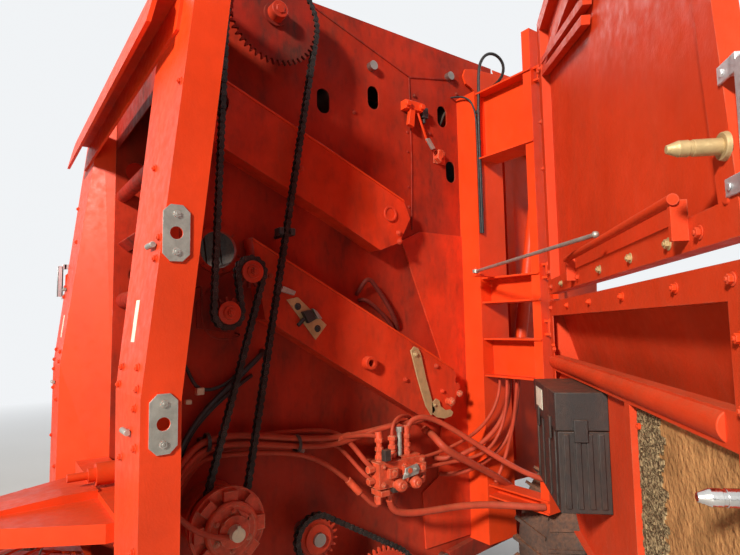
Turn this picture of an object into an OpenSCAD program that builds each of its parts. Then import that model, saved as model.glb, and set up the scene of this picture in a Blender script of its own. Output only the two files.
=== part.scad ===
// Round baler with its left side doors open, parked on its jack.
// X runs forward, Y to the left and Z up. The machine is drawn from the ground at Z = 0 and
// from the front posts at X = 0, and place() moves it so that the hitch eye is at the origin.

/* [Bale chamber] */
// Clear width between the two side plates
chamber_w = 1210; // [1190:5:1230]
// Thickness of the side plates
side_t = 6; // [4:1:8]
// Height of the top edge of the side plates
side_top_z = 2960; // [2920:10:3000]
// Where the front body ends and the tailgate begins, behind the front posts
split_x = -1985; // [-1995:5:-1975]
// Radius of the chamber's plain rollers
roller_r = 75; // [60:5:85]

/* [Front posts] */
// Distance of the posts' outer edge from the middle of the machine
post_y = 1085; // [1075:1:1090]
// Width of a post's face at its foot
post_foot_w = 285; // [260:5:300]
// Width of a post's face at its top
post_top_w = 440; // [400:5:460]
// Depth of the flange along a post's outer edge
post_flange = 110; // [100:5:120]
// Sheet thickness of the posts and the beam
post_t = 6; // [4:1:8]
// Height of a post's foot
post_foot_z = 590; // [570:5:610]
// Height of the kink above which the posts lean back
kink_z = 1310; // [1290:5:1330]
// Lean of the upper posts
post_lean = 6.4; // [5:0.2:7]
// Height of the front beam's face
beam_h = 150; // [130:5:170]
// Depth of the front beam from face to back
beam_d = 170; // [150:5:190]

/* [Rear posts and hinges] */
// Front edge of the rear posts
rear_post_x = -1700; // [-1710:5:-1690]
// Length of a rear post's section along the machine
rear_post_l = 200; // [180:5:220]
// Width of a rear post's section across the machine
rear_post_w = 130; // [110:5:140]
// Where the doors' hinge pins stand along the machine
hinge_x = -1755; // [-1765:5:-1745]
// Distance of the hinge pins from the middle of the machine
hinge_y = 1110; // [1108:1:1114]
// Radius of the hinge pins
hinge_pin_r = 9; // [8:0.5:10]
// Opening angle at which the left doors stand
door_open = 46; // [40:1:50]

/* [Doors] */
// Distance from the hinge pins to the upper door's free edge at its foot
upper_door_l = 1700; // [1680:5:1710]
// Bottom of the upper doors
upper_door_z = 1625; // [1620:5:1640]
// Top of the upper doors
upper_door_top_z = 2900; // [2860:10:2940]
// Thickness of the upper doors
upper_door_t = 42; // [36:1:50]
// Bottom of the lower doors
lower_door_z = 700; // [680:5:720]
// Top of the lower doors
lower_door_top_z = 1590; // [1580:5:1600]
// How far the lower doors' foot bulges outwards
lower_bulge = 150; // [130:5:160]
// Thickness of a door's outer sheet
skin_t = 4; // [3:1:5]
// Width of a door's frame profiles
stile_w = 62; // [55:1:70]
// Radius of the latch pins
latch_pin_r = 12; // [10:0.5:13]
// Radius of the holes in the latch plates
latch_hole_r = 18; // [16:0.5:20]

/* [Drive] */
// Plane of the main chain, from the middle of the machine
chain_y = 750; // [745:1:755]
// Pitch of the main chain
chain_pitch = 25.4; // [25.4:0.1:25.4]
// Width of the chain over its pins
chain_w = 34; // [28:1:36]
// Height of the chain's plates
chain_h = 24; // [20:1:26]
// Teeth of the big sprocket at the top
top_teeth = 48; // [46:1:50]
// Teeth of the two small sprockets in the middle
small_teeth = 13; // [13:1:14]
// Teeth of the drive hub's sprocket
hub_teeth = 19; // [18:1:20]
// Thickness of the sprockets' teeth
tooth_w = 15; // [12:1:16]

/* [Tailgate] */
// Height of the tailgate's pivot
tail_pivot_z = 2850; // [2840:5:2860]
// Place of the tailgate's pivot along the machine
tail_pivot_x = -1800; // [-1810:5:-1790]
// Rear end of the tailgate
tail_rear_x = -2950; // [-2980:10:-2920]
// Radius of the tailgate's pivot pins
tail_pin_r = 30; // [26:1:32]
// Bore radius of the tailgate cylinders
cyl_bore_r = 26; // [22:1:28]
// Outer radius of the tailgate cylinders
cyl_r = 33; // [32:1:36]
// Radius of the cylinder rods
rod_r = 16; // [14:1:18]

/* [Wheels and axle] */
// Place of the axle along the machine
axle_x = -2180; // [-2200:5:-2170]
// Radius of the tyres
tyre_r = 430; // [410:5:440]
// Width of the tyres
tyre_w = 400; // [360:5:420]
// Distance of a wheel's middle from the middle of the machine
wheel_y = 1030; // [1020:5:1045]
// Radius of the wheel rims
rim_r = 222; // [215:1:230]
// Radius of the axle spindles
spindle_r = 32; // [28:1:34]

/* [Pickup] */
// Place of the pickup reel's axis along the machine
reel_x = 190; // [185:5:200]
// Height of the pickup reel's axis
reel_z = 325; // [315:5:335]
// Radius of the reel over the tips of its tines
tine_tip_r = 255; // [245:5:265]
// Width of the pickup between its end plates
pickup_w = 2060; // [2020:10:2080]
// Diameter of a tine's wire
tine_d = 8; // [6:1:9]

/* [Drawbar] */
// Place of the hitch eye in front of the posts
hitch_x = 1480; // [1450:10:1500]
// Height of the hitch eye
hitch_z = 640; // [630:5:650]
// Bore radius of the hitch eye
hitch_eye_r = 25.5; // [20:0.5:26]
// Thickness of the hitch eye
hitch_eye_t = 36; // [30:1:40]
// Width of the drawbar's box section
drawbar_w = 130; // [120:5:150]
// Radius of the power shaft stub
pto_r = 17.4; // [17:0.1:17.5]
// Length of the power shaft stub
pto_l = 78; // [70:1:85]

/* [Hidden] */
$fn = 48;

// Running gap at hinge eyes and bearings
eye_gap = 0.3;
// Gap between pieces of different bodies that lie side by side
side_gap = 6;
y_in = chamber_w / 2;
y_out = y_in + side_t;
lean_x = tan(post_lean);

// Front surface of the posts at a height
function post_x(z) = z > kink_z ? -(z - kink_z) * lean_x : 0;

function pitch_r(teeth, pitch) = pitch / (2 * sin(180 / teeth));

module place() {
    translate([-hitch_x, 0, -hitch_z]) children();
}

module block(low, high) {
    translate(low) cube(high - low);
}

// A plate whose outline is drawn in X and Z, between two distances from the middle
module side_sheet(y0, y1) {
    translate([0, y1, 0]) rotate([90, 0, 0]) linear_extrude(y1 - y0) children();
}

// A plate whose outline is drawn in Y and Z, between two places along the machine
module cross_sheet(x0, x1) {
    translate([x0, 0, 0]) rotate([90, 0, 90]) linear_extrude(x1 - x0) children();
}

module bar_y(x, z, r, y0, y1) {
    translate([x, y0, z]) rotate([-90, 0, 0]) cylinder(r = r, h = y1 - y0);
}

module bar_x(y, z, r, x0, x1) {
    translate([x0, y, z]) rotate([0, 90, 0]) cylinder(r = r, h = x1 - x0);
}

module both_sides() {
    children();
    mirror([0, 1, 0]) children();
}

// A hexagon head that points outwards along Y
module bolt_head(x, z, y, size = 19, h = 9) {
    translate([x, y, z]) rotate([-90, 0, 0]) cylinder(r = size / 2 / cos(30), h = h, $fn = 6);
}

// Bale chamber and front body
wall_x = -230;
wall_foot_z = 600;
post_head_z = side_top_z - 200;
wall_outline = [
    [wall_x, wall_foot_z], [wall_x, post_head_z], [wall_x - 170, side_top_z], [split_x, side_top_z],
    [split_x, 640], [-1840, 440], [-1200, 250], [-450, 250], [-155, 300], [-155, wall_foot_z],
];
// Shafts through the side plates: x, z, shaft radius, roller radius, left end, right end
AX_X = 0;
AX_Z = 1;
AX_R = 2;
AX_ROLL = 3;
AX_LEFT = 4;
AX_RIGHT = 5;
shafts = [
    [-554, side_top_z - 219, 25, 110, 780, 660],
    [-458, 1706, 18, 55, 775, 640],
    [-370, 1553, 18, 55, 775, 640],
    [-730, 684, 25, roller_r + 25, 780, 660],
    [-1046, 400, 28, roller_r + 35, 780, 660],
    [-1500, 380, 22, roller_r, 640, 640],
    [-1130, side_top_z - 220, 22, roller_r, 640, 640],
    [-1640, side_top_z - 140, 22, roller_r, 640, 640],
    [-720, 1000, 22, roller_r, 640, 640],
];
top_axis = shafts[0];
upper_small = shafts[1];
lower_small = shafts[2];
low_axis = shafts[3];
floor_axis = shafts[4];
hub_axis = [-352, 826, 24];
// Round openings with a flange: x, z, opening radius, flange radius
ports = [[-338, 2398, 57, 90], [-379, 1801, 72, 92]];
// Slots high in the side plate: x, z
slots = [[-863, 2511], [-1142, 2591], [-1590, 2592], [-1640, 2300]];
slot_l = 115;
slot_w = 66;
port_flange_t = 14;
plate_hole_gap = 0.4;

module slot_shape(x, z) {
    for (dz = [-1, 1]) translate([x, z + dz * (slot_l - slot_w) / 2]) circle(d = slot_w);
    translate([x - slot_w / 2, z - (slot_l - slot_w) / 2]) square([slot_w, slot_l - slot_w]);
}

module side_plate(with_ports) {
    difference() {
        side_sheet(y_in, y_out) polygon(wall_outline);
        for (s = shafts) bar_y(s[AX_X], s[AX_Z], s[AX_R] + plate_hole_gap, y_in - 1, y_out + 1);
        bar_y(hub_axis[0], hub_axis[1], hub_axis[2] + plate_hole_gap, y_in - 1, y_out + 1);
        bar_y(rotor_x, rotor_z, rotor_shaft_r + eye_gap, y_in - 1, y_out + 1);
        bar_y(tail_pivot_x, tail_pivot_z, tail_pin_r + plate_hole_gap, y_in - 1, y_out + 1);
        if (with_ports) {
            for (p = ports) bar_y(p[0], p[1], p[2], y_in - 1, y_out + 1);
            side_sheet(y_in - 1, y_out + 1) for (s = slots) slot_shape(s[0], s[1]);
        }
    }
    // Pins that the pickup's arms turn on
    bar_y(pivot_x, pivot_z, pivot_r, y_out - 1, y_out + pivot_pin_l);
    if (with_ports)
        for (p = ports) difference() {
            bar_y(p[0], p[1], p[3], y_out, y_out + port_flange_t);
            bar_y(p[0], p[1], p[2], y_out - 1, y_out + port_flange_t + 1);
        }
}

module side_plate_left() {
    color("firebrick") side_plate(true);
}

module side_plate_right() {
    color("firebrick") mirror([0, 1, 0]) side_plate(true);
}

post_inner_foot_y = post_y - post_foot_w;
post_inner_kink_y = post_inner_foot_y - 45;
post_inner_top_y = post_y - post_top_w;
web_y = y_out + 1;

module web_edge(x, y, z, h) {
    // Thin slab across the web from the post's inner edge back to the side plate
    translate([0, 0, z]) linear_extrude(h)
        polygon([[x - post_t, y], [x, y], [x, y + post_t], [wall_x, web_y + post_t], [wall_x, web_y]]);
}

module upper_lean() {
    translate([0, 0, kink_z]) rotate([0, -post_lean, 0]) children();
}

upper_post_l = (post_head_z - kink_z) / cos(post_lean);
latch_holes = [[-88, 1772], [-60, 1240]];
latch_plate = [78, 165, 5];

module latch_plate_shape(x, z) {
    // Octagonal plate on the post's flange, with the hole that takes a door's latch pin
    w = latch_plate[0] / 2;
    h = latch_plate[1] / 2;
    c = w * 0.55;
    difference() {
        side_sheet(post_y, post_y + latch_plate[2]) polygon([
            [x - w, z - h + c], [x - w + c, z - h], [x + w - c, z - h], [x + w, z - h + c],
            [x + w, z + h - c], [x + w - c, z + h], [x - w + c, z + h], [x - w, z + h - c],
        ]);
        bar_y(x, z, latch_hole_r, post_y - 1, post_y + latch_plate[2] + 1);
    }
    for (dz = [-1, 1]) bolt_head(x, z + dz * (h - 28), post_y + latch_plate[2], 17, 5);
}

module front_post() {
    difference() {
        union() {
            cross_sheet(-post_t, 0) polygon([
                [post_inner_foot_y, post_foot_z], [post_y, post_foot_z],
                [post_y, kink_z], [post_inner_kink_y, kink_z],
            ]);
            upper_lean() cross_sheet(-post_t, 0) polygon([
                [post_inner_kink_y, 0], [post_y, 0],
                [post_y, upper_post_l], [post_inner_top_y, upper_post_l],
            ]);
            block([-post_flange, post_y - post_t, post_foot_z], [0, post_y, kink_z]);
            upper_lean() block([-post_flange, post_y - post_t, -6], [0, post_y, upper_post_l]);
            hull() {
                web_edge(0, post_inner_foot_y, post_foot_z, 1);
                web_edge(0, post_inner_kink_y, kink_z - 1, 1);
            }
            hull() {
                web_edge(0, post_inner_kink_y, kink_z - 1, 1);
                web_edge(post_x(post_head_z), post_inner_top_y, post_head_z - 1, 1);
            }
            for (z = [post_foot_z, kink_z - 40]) translate([0, 0, z]) linear_extrude(post_t) polygon([
                [0, post_inner_foot_y - 20], [0, post_y], [-post_flange, post_y],
                [-post_flange, post_y - 60], [wall_x, web_y + post_t], [wall_x, web_y],
            ]);
        }
        for (l = latch_holes) bar_y(l[0], l[1], latch_hole_r + 3, post_y - 20, post_y + 1);
    }
    for (l = latch_holes) latch_plate_shape(l[0], l[1]);
}

module front_post_left() {
    color("orangered") front_post();
}

module front_post_right() {
    color("orangered") mirror([0, 1, 0]) front_post();
}

beam_y = 950;
beam_foot_z = post_head_z - 305;

module front_beam() {
    z1 = beam_foot_z + beam_h;
    color("orangered") intersection() {
        side_sheet(-beam_y, beam_y) difference() {
            polygon([
                [post_x(beam_foot_z) + eye_gap, beam_foot_z], [post_x(z1) + eye_gap, z1],
                [post_x(z1) + beam_d / 2, z1], [post_x(beam_foot_z) + beam_d * 0.6, beam_foot_z],
            ]);
            polygon([
                [post_x(beam_foot_z) + 12, beam_foot_z - 1], [post_x(z1) + 12, z1 - 12],
                [post_x(z1) + beam_d / 2 - 12, z1 - 12],
                [post_x(beam_foot_z) + beam_d * 0.6 - 14, beam_foot_z - 1],
            ]);
        }
        cross_sheet(-400, 200) polygon([
            [-beam_y, beam_foot_z], [beam_y, beam_foot_z], [beam_y, z1 - 45], [beam_y - 50, z1],
            [-beam_y + 50, z1], [-beam_y, z1 - 45],
        ]);
    }
}

// Tubes across the front body: x, z, radius
tubes = [[-272, 2250, 36], [-290, 1660, 45], [-560, 1260, 38]];
tube_wall = 4;

module cross_tubes() {
    color("firebrick") for (t = tubes) difference() {
        bar_y(t[0], t[1], t[2], -y_in, y_in);
        bar_y(t[0], t[1], t[2] - tube_wall, -y_in - 1, y_in + 1);
    }
}

module top_cover() {
    // Bent sheet that closes the front body from the beam to the tailgate
    t = 4;
    color("orangered") side_sheet(-y_in, y_in) polygon([
        [wall_x - 4, beam_foot_z + 60], [wall_x - 4, post_head_z], [wall_x - 172, side_top_z - 12],
        [split_x + 120, side_top_z - 12], [split_x + 120, side_top_z - 12 - t],
        [wall_x - 175, side_top_z - 12 - t], [wall_x - 4 - t, post_head_z - 2],
        [wall_x - 4 - t, beam_foot_z + 60],
    ]);
}

net_foot_z = ports[1][1] + ports[1][3] + 47;

module net_box() {
    // Open tray across the front body that holds the net roll
    t = 4;
    z = net_foot_z;
    color("darkred") side_sheet(-y_in, y_in) polygon([
        [-250, z + 40], [-300, z], [-435, z + 70], [-465, z + 260], [-465 - t, z + 260],
        [-435 - t, z + 70 - t], [-300, z - t - 1], [-250, z + 40 - t - 1],
    ]);
}

// Rear posts with the doors' hinges
rear_post_foot_z = 422;
rear_post_top_z = tail_pivot_z - 140;
post_face_y = y_out;
hinge_post_y = hinge_y - 24;
hinge_post = [70, 46];
hinge_lug_t = 10;
hinge_set_h = 70;
top_rail_z = upper_door_top_z - 260;
upper_hinges = [upper_door_z + 75, top_rail_z];
lower_hinges = [790, 1440];
// Outriggers between a rear post and its hinge post: foot height, top height, rear edge
outriggers = [[650, 710, -1795], [1235, 1425, -1860], [1600, 1730, -1860],
    [upper_door_top_z - 555, upper_door_top_z - 200, -1860]];
outrigger_t = 8;

module hinge_lugs(z) {
    for (dz = [0, hinge_set_h - hinge_lug_t]) translate([0, 0, z + dz]) linear_extrude(hinge_lug_t)
        union() {
            translate([hinge_x, hinge_y]) circle(r = 16);
            translate([hinge_x - 16, hinge_post_y - 1]) square([32, hinge_y - hinge_post_y + 1]);
        }
    translate([hinge_x, hinge_y, z - 6]) cylinder(r = hinge_pin_r, h = hinge_set_h + 12);
}

module outrigger(z0, z1, x0) {
    x1 = rear_post_x - 10;
    t = outrigger_t;
    y0 = post_face_y + rear_post_w - 1;
    y1 = hinge_post_y;
    block([x0, y0, z1 - t], [x1, y1, z1]);
    block([x0, y0, z0], [x1, y1, z0 + t]);
    block([hinge_x - 30, y0, z0], [hinge_x - 30 + t, y1, z1]);
}

module rear_post() {
    x0 = rear_post_x - rear_post_l;
    difference() {
        block([x0, post_face_y + eye_gap, rear_post_foot_z],
            [rear_post_x, post_face_y + rear_post_w, rear_post_top_z]);
        // The section is open at both ends
        block([x0 + 6, post_face_y + 6, rear_post_foot_z - 1],
            [rear_post_x - 6, post_face_y + rear_post_w - 6, rear_post_top_z + 1]);
    }
    block([hinge_x - hinge_post[0] / 2, hinge_post_y - hinge_post[1], outriggers[0][0]],
        [hinge_x + hinge_post[0] / 2, hinge_post_y, upper_door_top_z]);
    for (o = outriggers) outrigger(o[0], o[1], o[2]);
    for (z = concat(upper_hinges, lower_hinges)) hinge_lugs(z);
}

module rear_post_left() {
    color("orangered") {
        rear_post();
        cylinder_bracket();
        stay_bracket();
    }
}

module rear_post_right() {
    color("orangered") mirror([0, 1, 0]) {
        rear_post();
        cylinder_bracket();
    }
}

// Folded channels and plates on the outside of the left side plate
channel_y = y_out + 88;
channel_t = 5;
upper_channel = [
    [-236, 2241], [-256, 2499], [-880, 2240], [-1243, 2084], [-1282, 2000], [-1215, 1880],
    [-1102, 1837], [-835, 1970],
];
lower_channel = [
    [-484, 1846], [-800, 1680], [-1330, 1395], [-1532, 1284], [-1575, 1190], [-1500, 1075],
    [-1375, 1044], [-835, 1356], [-540, 1530],
];
rear_plate = [
    [-1290, 1905], [-1410, 1960], [rear_post_x, 1960], [rear_post_x, 440], [-1400, 440],
    [-1385, 700], [-1490, 760], [-1520, 1000], [-1600, 1130], [-1508, 1376],
];
rear_plate_t = 8;

module folded_channel(outline) {
    difference() {
        side_sheet(y_out, channel_y) polygon(outline);
        // Inside of the fold, one edge thickness in from the outline
        side_sheet(y_out - 1, channel_y - channel_t) polygon(shrunk(outline, channel_t));
    }
}

// Outline drawn clockwise, moved inwards by d along each edge's normal
function edge_normal(a, b) = let (e = (b - a) / norm(b - a)) [e[1], -e[0]];
function shrunk(p, d) = [
    for (i = [0:len(p) - 1])
        let (
            a = p[(i + len(p) - 1) % len(p)], b = p[i], c = p[(i + 1) % len(p)],
            n1 = edge_normal(a, b), n2 = edge_normal(b, c), m = n1 + n2
        )
        b + m * (turn(p) * d / (1 + n1 * n2))
];
function area_sum(p) = [for (i = [0:len(p) - 1]) cross(p[i], p[(i + 1) % len(p)])];
function total(v, i = 0) = i < len(v) ? v[i] + total(v, i + 1) : 0;
function turn(p) = total(area_sum(p)) > 0 ? -1 : 1;

module side_channels() {
    color("orangered") difference() {
        union() {
            folded_channel(upper_channel);
            folded_channel(lower_channel);
            side_sheet(y_out, y_out + rear_plate_t) polygon(rear_plate);
            bar_y(-1160, 2010, 34, channel_y - 1, channel_y + 5);
            bar_y(-1020, 1337, 24, channel_y - 1, channel_y + 30);
            bar_y(-1487, 1130, 15, channel_y - 1, channel_y + 26);
        }
        // Clear of the upper port's flange
        bar_y(ports[0][0], ports[0][1], ports[0][3] + side_gap, y_out - 1, channel_y + 1);
        bar_y(-1020, 1337, 15, channel_y - 12, channel_y + 31);
        bar_y(-1560, 1225, 17, channel_y - 12, channel_y + 6);
    }
}

// Rollers of the bale chamber, each with its shaft
module chamber_rollers() {
    color("dimgray") for (s = shafts) {
        bar_y(s[AX_X], s[AX_Z], s[AX_ROLL], -y_in + 4, y_in - 4);
        bar_y(s[AX_X], s[AX_Z], s[AX_R], -s[AX_RIGHT], s[AX_LEFT]);
    }
}

// A loop of chain or belt over round wheels, drawn in X and Z. A row is x, z, radius and turn:
// 1 where the loop runs clockwise round the wheel and -1 where it runs the other way.
W_R = 2;
W_TURN = 3;
function at_xz(w) = [w[0], w[1]];
function run_angle(a, b, ra, rb) =
    let (d = at_xz(b) - at_xz(a))
    atan2(d[1], d[0]) + acos((a[W_TURN] * ra - b[W_TURN] * rb) / norm(d));
function wheel_arc(prev, w, next, off) =
    let (
        r = w[W_R] + w[W_TURN] * off,
        rp = prev[W_R] + prev[W_TURN] * off,
        rn = next[W_R] + next[W_TURN] * off,
        a0 = run_angle(prev, w, rp, r),
        a1 = run_angle(w, next, r, rn),
        sweep = w[W_TURN] > 0 ? -wrap(a0 - a1) : wrap(a1 - a0),
        steps = max(1, ceil(abs(sweep) / arc_step)),
        flip = w[W_TURN] > 0 ? 0 : 180,
        // The flats between the points stay outside the wheel
        rc = r / cos(sweep / steps / 2)
    )
    [for (i = [0:steps]) at_xz(w) + polar(rc, a0 + flip + sweep * i / steps)];
function wrap(a) = a - 360 * floor(a / 360);
function loop_path(wheels, off) = [
    for (i = [0:len(wheels) - 1])
        let (n = len(wheels))
        each wheel_arc(wheels[(i + n - 1) % n], wheels[i], wheels[(i + 1) % n], off)
];
arc_step = 8;

module loop_band(wheels, half) {
    // Flat band of the loop, half to each side of its middle line
    difference() {
        polygon(loop_path(wheels, half));
        polygon(loop_path(wheels, -half));
    }
}

// Belts of the bale chamber, side by side over three rollers of the front body
belt_t = 5;
belt_w = 178;
belt_count = 6;
belt_gap = (chamber_w - 20 - belt_count * belt_w) / (belt_count - 1);
belt_wheels = [for (i = [0, 8, 7])
    [shafts[i][AX_X], shafts[i][AX_Z], shafts[i][AX_ROLL] + eye_gap + belt_t / 2, 1]];

module belts() {
    color("black") for (i = [0:belt_count - 1]) {
        y0 = -y_in + 10 + i * (belt_w + belt_gap);
        side_sheet(y0, y0 + belt_w) loop_band(belt_wheels, belt_t / 2);
    }
}

// Chain drive on the left side
top_r = pitch_r(top_teeth, chain_pitch);
small_r = pitch_r(small_teeth, chain_pitch);
hub_r = pitch_r(hub_teeth, chain_pitch);
low_teeth = 21;
floor_teeth = 43;
low_r = pitch_r(low_teeth, chain_pitch);
floor_r = pitch_r(floor_teeth, chain_pitch);
main_wheels = [
    [top_axis[0], top_axis[1], top_r, 1],
    [lower_small[0], lower_small[1], small_r, 1],
    [upper_small[0], upper_small[1], small_r, -1],
    [hub_axis[0], hub_axis[1], hub_r, 1],
];
lower_wheels = [[low_axis[0], low_axis[1], low_r, 1], [floor_axis[0], floor_axis[1], floor_r, 1]];

module sprocket_shape(teeth, r) {
    // Four corners a tooth, low enough to stay inside the chain's rollers
    root = r - chain_h / 2 - 2;
    tip = r + chain_pitch * 0.22;
    a = 360 / teeth;
    polygon([for (i = [0:teeth - 1]) each [
        polar(root, a * (i - 0.34)), polar(tip, a * (i - 0.1)),
        polar(tip, a * (i + 0.1)), polar(root, a * (i + 0.34)),
    ]]);
}
function polar(r, a) = r * [cos(a), sin(a)];

module sprocket(axis, teeth, r, hub_d, hole_r, hub_l = 12) {
    // Toothed disc with a boss, bored for its shaft
    y0 = chain_y - tooth_w / 2;
    x = axis[0];
    z = axis[1];
    difference() {
        union() {
            side_sheet(y0, y0 + tooth_w) translate([x, z]) sprocket_shape(teeth, r);
            bar_y(x, z, hub_d / 2, y0 - hub_l, y0 + tooth_w + hub_l);
        }
        bar_y(x, z, hole_r, y0 - hub_l - 1, y0 + tooth_w + hub_l + 1);
    }
}

module top_sprocket() {
    color("firebrick") sprocket(top_axis, top_teeth, top_r, 95, top_axis[AX_R] + eye_gap);
}

// Black plastic block that guides the rear run of the main chain: x, z
guide = [-600, 1869];

module small_sprockets() {
    color("firebrick") {
        for (a = [upper_small, lower_small])
            sprocket(a, small_teeth, small_r, 64, a[AX_R] + eye_gap, 9);
        // Bracket plate behind the two sprockets, bolted to the side plate
        difference() {
            side_sheet(y_out + eye_gap, y_out + 8) polygon([
                [-300, 1500], [-300, 1600], [-395, 1700], [-428, 1716], [-455, 1745], [-492, 1745],
                [-500, 1650], [-430, 1480],
            ]);
            for (a = [upper_small, lower_small])
                bar_y(a[AX_X], a[AX_Z], a[AX_R] + eye_gap, y_out, y_out + 9);
        }
    }
}

module chain_guide() {
    w = chain_h / 2 + 3;
    difference() {
        union() {
            block([guide[0] - 34, chain_y - 20, guide[1] - 14],
                [guide[0] + 34, chain_y + 24, guide[1] + 14]);
            bar_y(guide[0] - 26, guide[1], 8, y_out, chain_y - 19);
        }
        block([guide[0] - w, chain_y - chain_w / 2 - 1, guide[1] - 15],
            [guide[0] + w, chain_y + 25, guide[1] + 15]);
    }
}

// Slip clutch on the drive hub
castle_count = 8;
castle_r = 125;
// Ring round the hub's bearing, clear of the post's web
hub_guard_r = 114;

module drive_hub() {
    x = hub_axis[0];
    z = hub_axis[1];
    color("orangered") {
        difference() {
            union() {
                side_sheet(chain_y - tooth_w / 2, chain_y + tooth_w / 2)
                    translate([x, z]) sprocket_shape(hub_teeth, hub_r);
                bar_y(x, z, 50, y_out + 30, chain_y + 22);
                bar_y(x, z, castle_r, chain_y + 20, chain_y + 62);
                for (i = [0:castle_count - 1]) translate([x, chain_y + 61, z])
                    rotate([0, i * 360 / castle_count, 0])
                        block([castle_r - 34, 0, -24], [castle_r - 2, 26, 24]);
                bar_y(x, z, 78, chain_y + 60, chain_y + 104);
                bar_y(x, z, 52, chain_y + 103, chain_y + 122);
            }
            bar_y(x, z, hub_axis[2] + eye_gap, y_out, chain_y + 200);
        }
        // Guard ring and bearing flange on the side plate
        difference() {
            union() {
                bar_y(x, z, 70, y_out + eye_gap, y_out + 26);
                bar_y(x, z, hub_guard_r, y_out + eye_gap, y_out + 6);
                difference() {
                    bar_y(x, z, hub_guard_r, y_out + 5, y_out + 100);
                    bar_y(x, z, hub_guard_r - 8, y_out + 4, y_out + 101);
                }
            }
            bar_y(x, z, hub_axis[2] + eye_gap, y_out - 1, y_out + 30);
        }
    }
}

module chain_plates(wheels, w) {
    // The two rows of plates, to the left and right of the sprocket's teeth
    t = (w - tooth_w) / 2 - eye_gap;
    for (y0 = [chain_y - w / 2, chain_y + w / 2 - t])
        side_sheet(y0, y0 + t) loop_band(wheels, chain_h / 2);
}

module main_chain() {
    color("black") {
        chain_plates(main_wheels, chain_w);
        chain_guide();
    }
}

module lower_drive() {
    color("firebrick") {
        sprocket(low_axis, low_teeth, low_r, 110, low_axis[AX_R] + eye_gap);
        sprocket(floor_axis, floor_teeth, floor_r, 120, floor_axis[AX_R] + eye_gap);
    }
    color("black") chain_plates(lower_wheels, chain_w);
}

// Hydraulic valve block: front end, rear end, foot, top
valve = [-1010, -1260, 800, 935];
valve_y = [y_out + 96, y_out + 176];

module valve_block() {
    x0 = valve[1];
    x1 = valve[0];
    z0 = valve[2];
    z1 = valve[3];
    y0 = valve_y[0];
    y1 = valve_y[1];
    color("orangered") {
        // Foot that carries the block on the side plate
        block([x0 + 60, y_out + eye_gap, z0 + 30], [x1 - 60, y0 + 1, z1 - 30]);
        block([x0, y0, z0 + 20], [x1, y1, z1 - 10]);
        block([x0 + 20, y0, z0], [x0 + 120, y1 - 12, z1]);
        for (x = [x1 - 95, x1 - 175]) {
            bar_y(x, z0 + 28, 26, y1 - 1, y1 + 22);
            bar_y(x, z0 + 28, 19, y1 + 21, y1 + 34);
        }
        for (x = [x1 - 30, x1 - 100, x1 - 180]) {
            translate([x, (y0 + y1) / 2, z1 - 11]) cylinder(r = 15, h = 36);
            translate([x, (y0 + y1) / 2, z1 + 24]) cylinder(r = 10, h = 60);
        }
        for (x = [x1 - 20, x1 - 80])
            translate([x, (y0 + y1) / 2, z0 - 44]) cylinder(r = 12, h = 66);
    }
}

// Hoses along the left side: radius, the route's points, and the direction of each end's fitting
HOSE_R = 0;
HOSE_PTS = 1;
HOSE_ENDS = 2;
hose_sides = 8;
UP = [0, 0, 1];
DOWN = [0, 0, -1];
BACK = [-1, 0, 0];
FRONT = [1, 0, 0];
fitting_l = 22;
valve_mid_y = y_out + 136;
hose_post_x = hinge_x + 35;
hoses_table = [
    [11, [[-150, 730, 612], [-152, 730, 700], [-172, 720, 850], [-218, 690, 960], [-300, 664, 1052],
        [-430, 656, 1088], [-640, 654, 1080], [-860, 658, 1070], [-940, 700, 1005],
        [-980, 738, 920], [-1000, valve_mid_y, 898]], [DOWN, BACK]],
    [9, [[-180, 712, 612], [-181, 712, 700], [-192, 700, 830], [-228, 668, 930], [-298, 640, 1020],
        [-430, 633, 1056], [-640, 632, 1050], [-860, 636, 1028], [-930, 684, 950],
        [-975, 735, 868], [-1000, valve_mid_y, 850]], [DOWN, BACK]],
    [12, [[-1190, valve_mid_y, 1030], [-1196, 748, 1068], [-1250, 758, 1096], [-1340, 786, 1070],
        [-1480, 850, 970], [-1600, 940, 870], [-1680, 1030, 812], [hose_post_x + 12, 1062, 800]],
        [DOWN, BACK]],
    [15, [[-1090, valve_mid_y, 746], [-1094, 748, 712], [-1160, 754, 684], [-1300, 776, 676],
        [-1450, 830, 686], [-1590, 930, 684], [-1680, 1035, 680], [hose_post_x + 12, 1062, 680]],
        [UP, BACK]],
    [8, [[-1752, 800, 1224], [-1748, 799, 1130], [-1670, 778, 1010], [-1540, 762, 950],
        [-1400, 750, 915], [-1300, 747, 906], [-1270, valve_mid_y, 905]], [UP, FRONT]],
    [8, [[-1744, 852, 1224], [-1738, 850, 1070], [-1680, 835, 935], [-1590, 805, 872],
        [-1430, 762, 862], [-1300, 748, 860], [-1270, valve_mid_y, 860]], [UP, FRONT]],
];

module hose(r, pts) {
    // Tube swept along the route, each ring turned to face along it
    n = len(pts);
    dirs = [for (i = [0:n - 1]) let (d = pts[min(i + 1, n - 1)] - pts[max(i - 1, 0)]) d / norm(d)];
    turns = [for (k = [0:hose_sides - 1]) 360 * k / hose_sides];
    rings = [for (i = [0:n - 1])
        let (s = unit(cross(dirs[i], [0.001, 1, 0.001])), u = cross(dirs[i], s))
        each [for (a = turns) pts[i] + r * (s * cos(a) + u * sin(a))]];
    faces = concat(
        [[for (k = [0:hose_sides - 1]) k]],
        [for (i = [0:n - 2], k = [0:hose_sides - 1]) let (a = i * hose_sides, b = (k + 1) % hose_sides)
            [a + k, a + hose_sides + k, a + hose_sides + b, a + b]],
        [[for (k = [hose_sides - 1:-1:0]) (n - 1) * hose_sides + k]]
    );
    polyhedron(rings, faces);
}
function unit(v) = v / norm(v);

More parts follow.
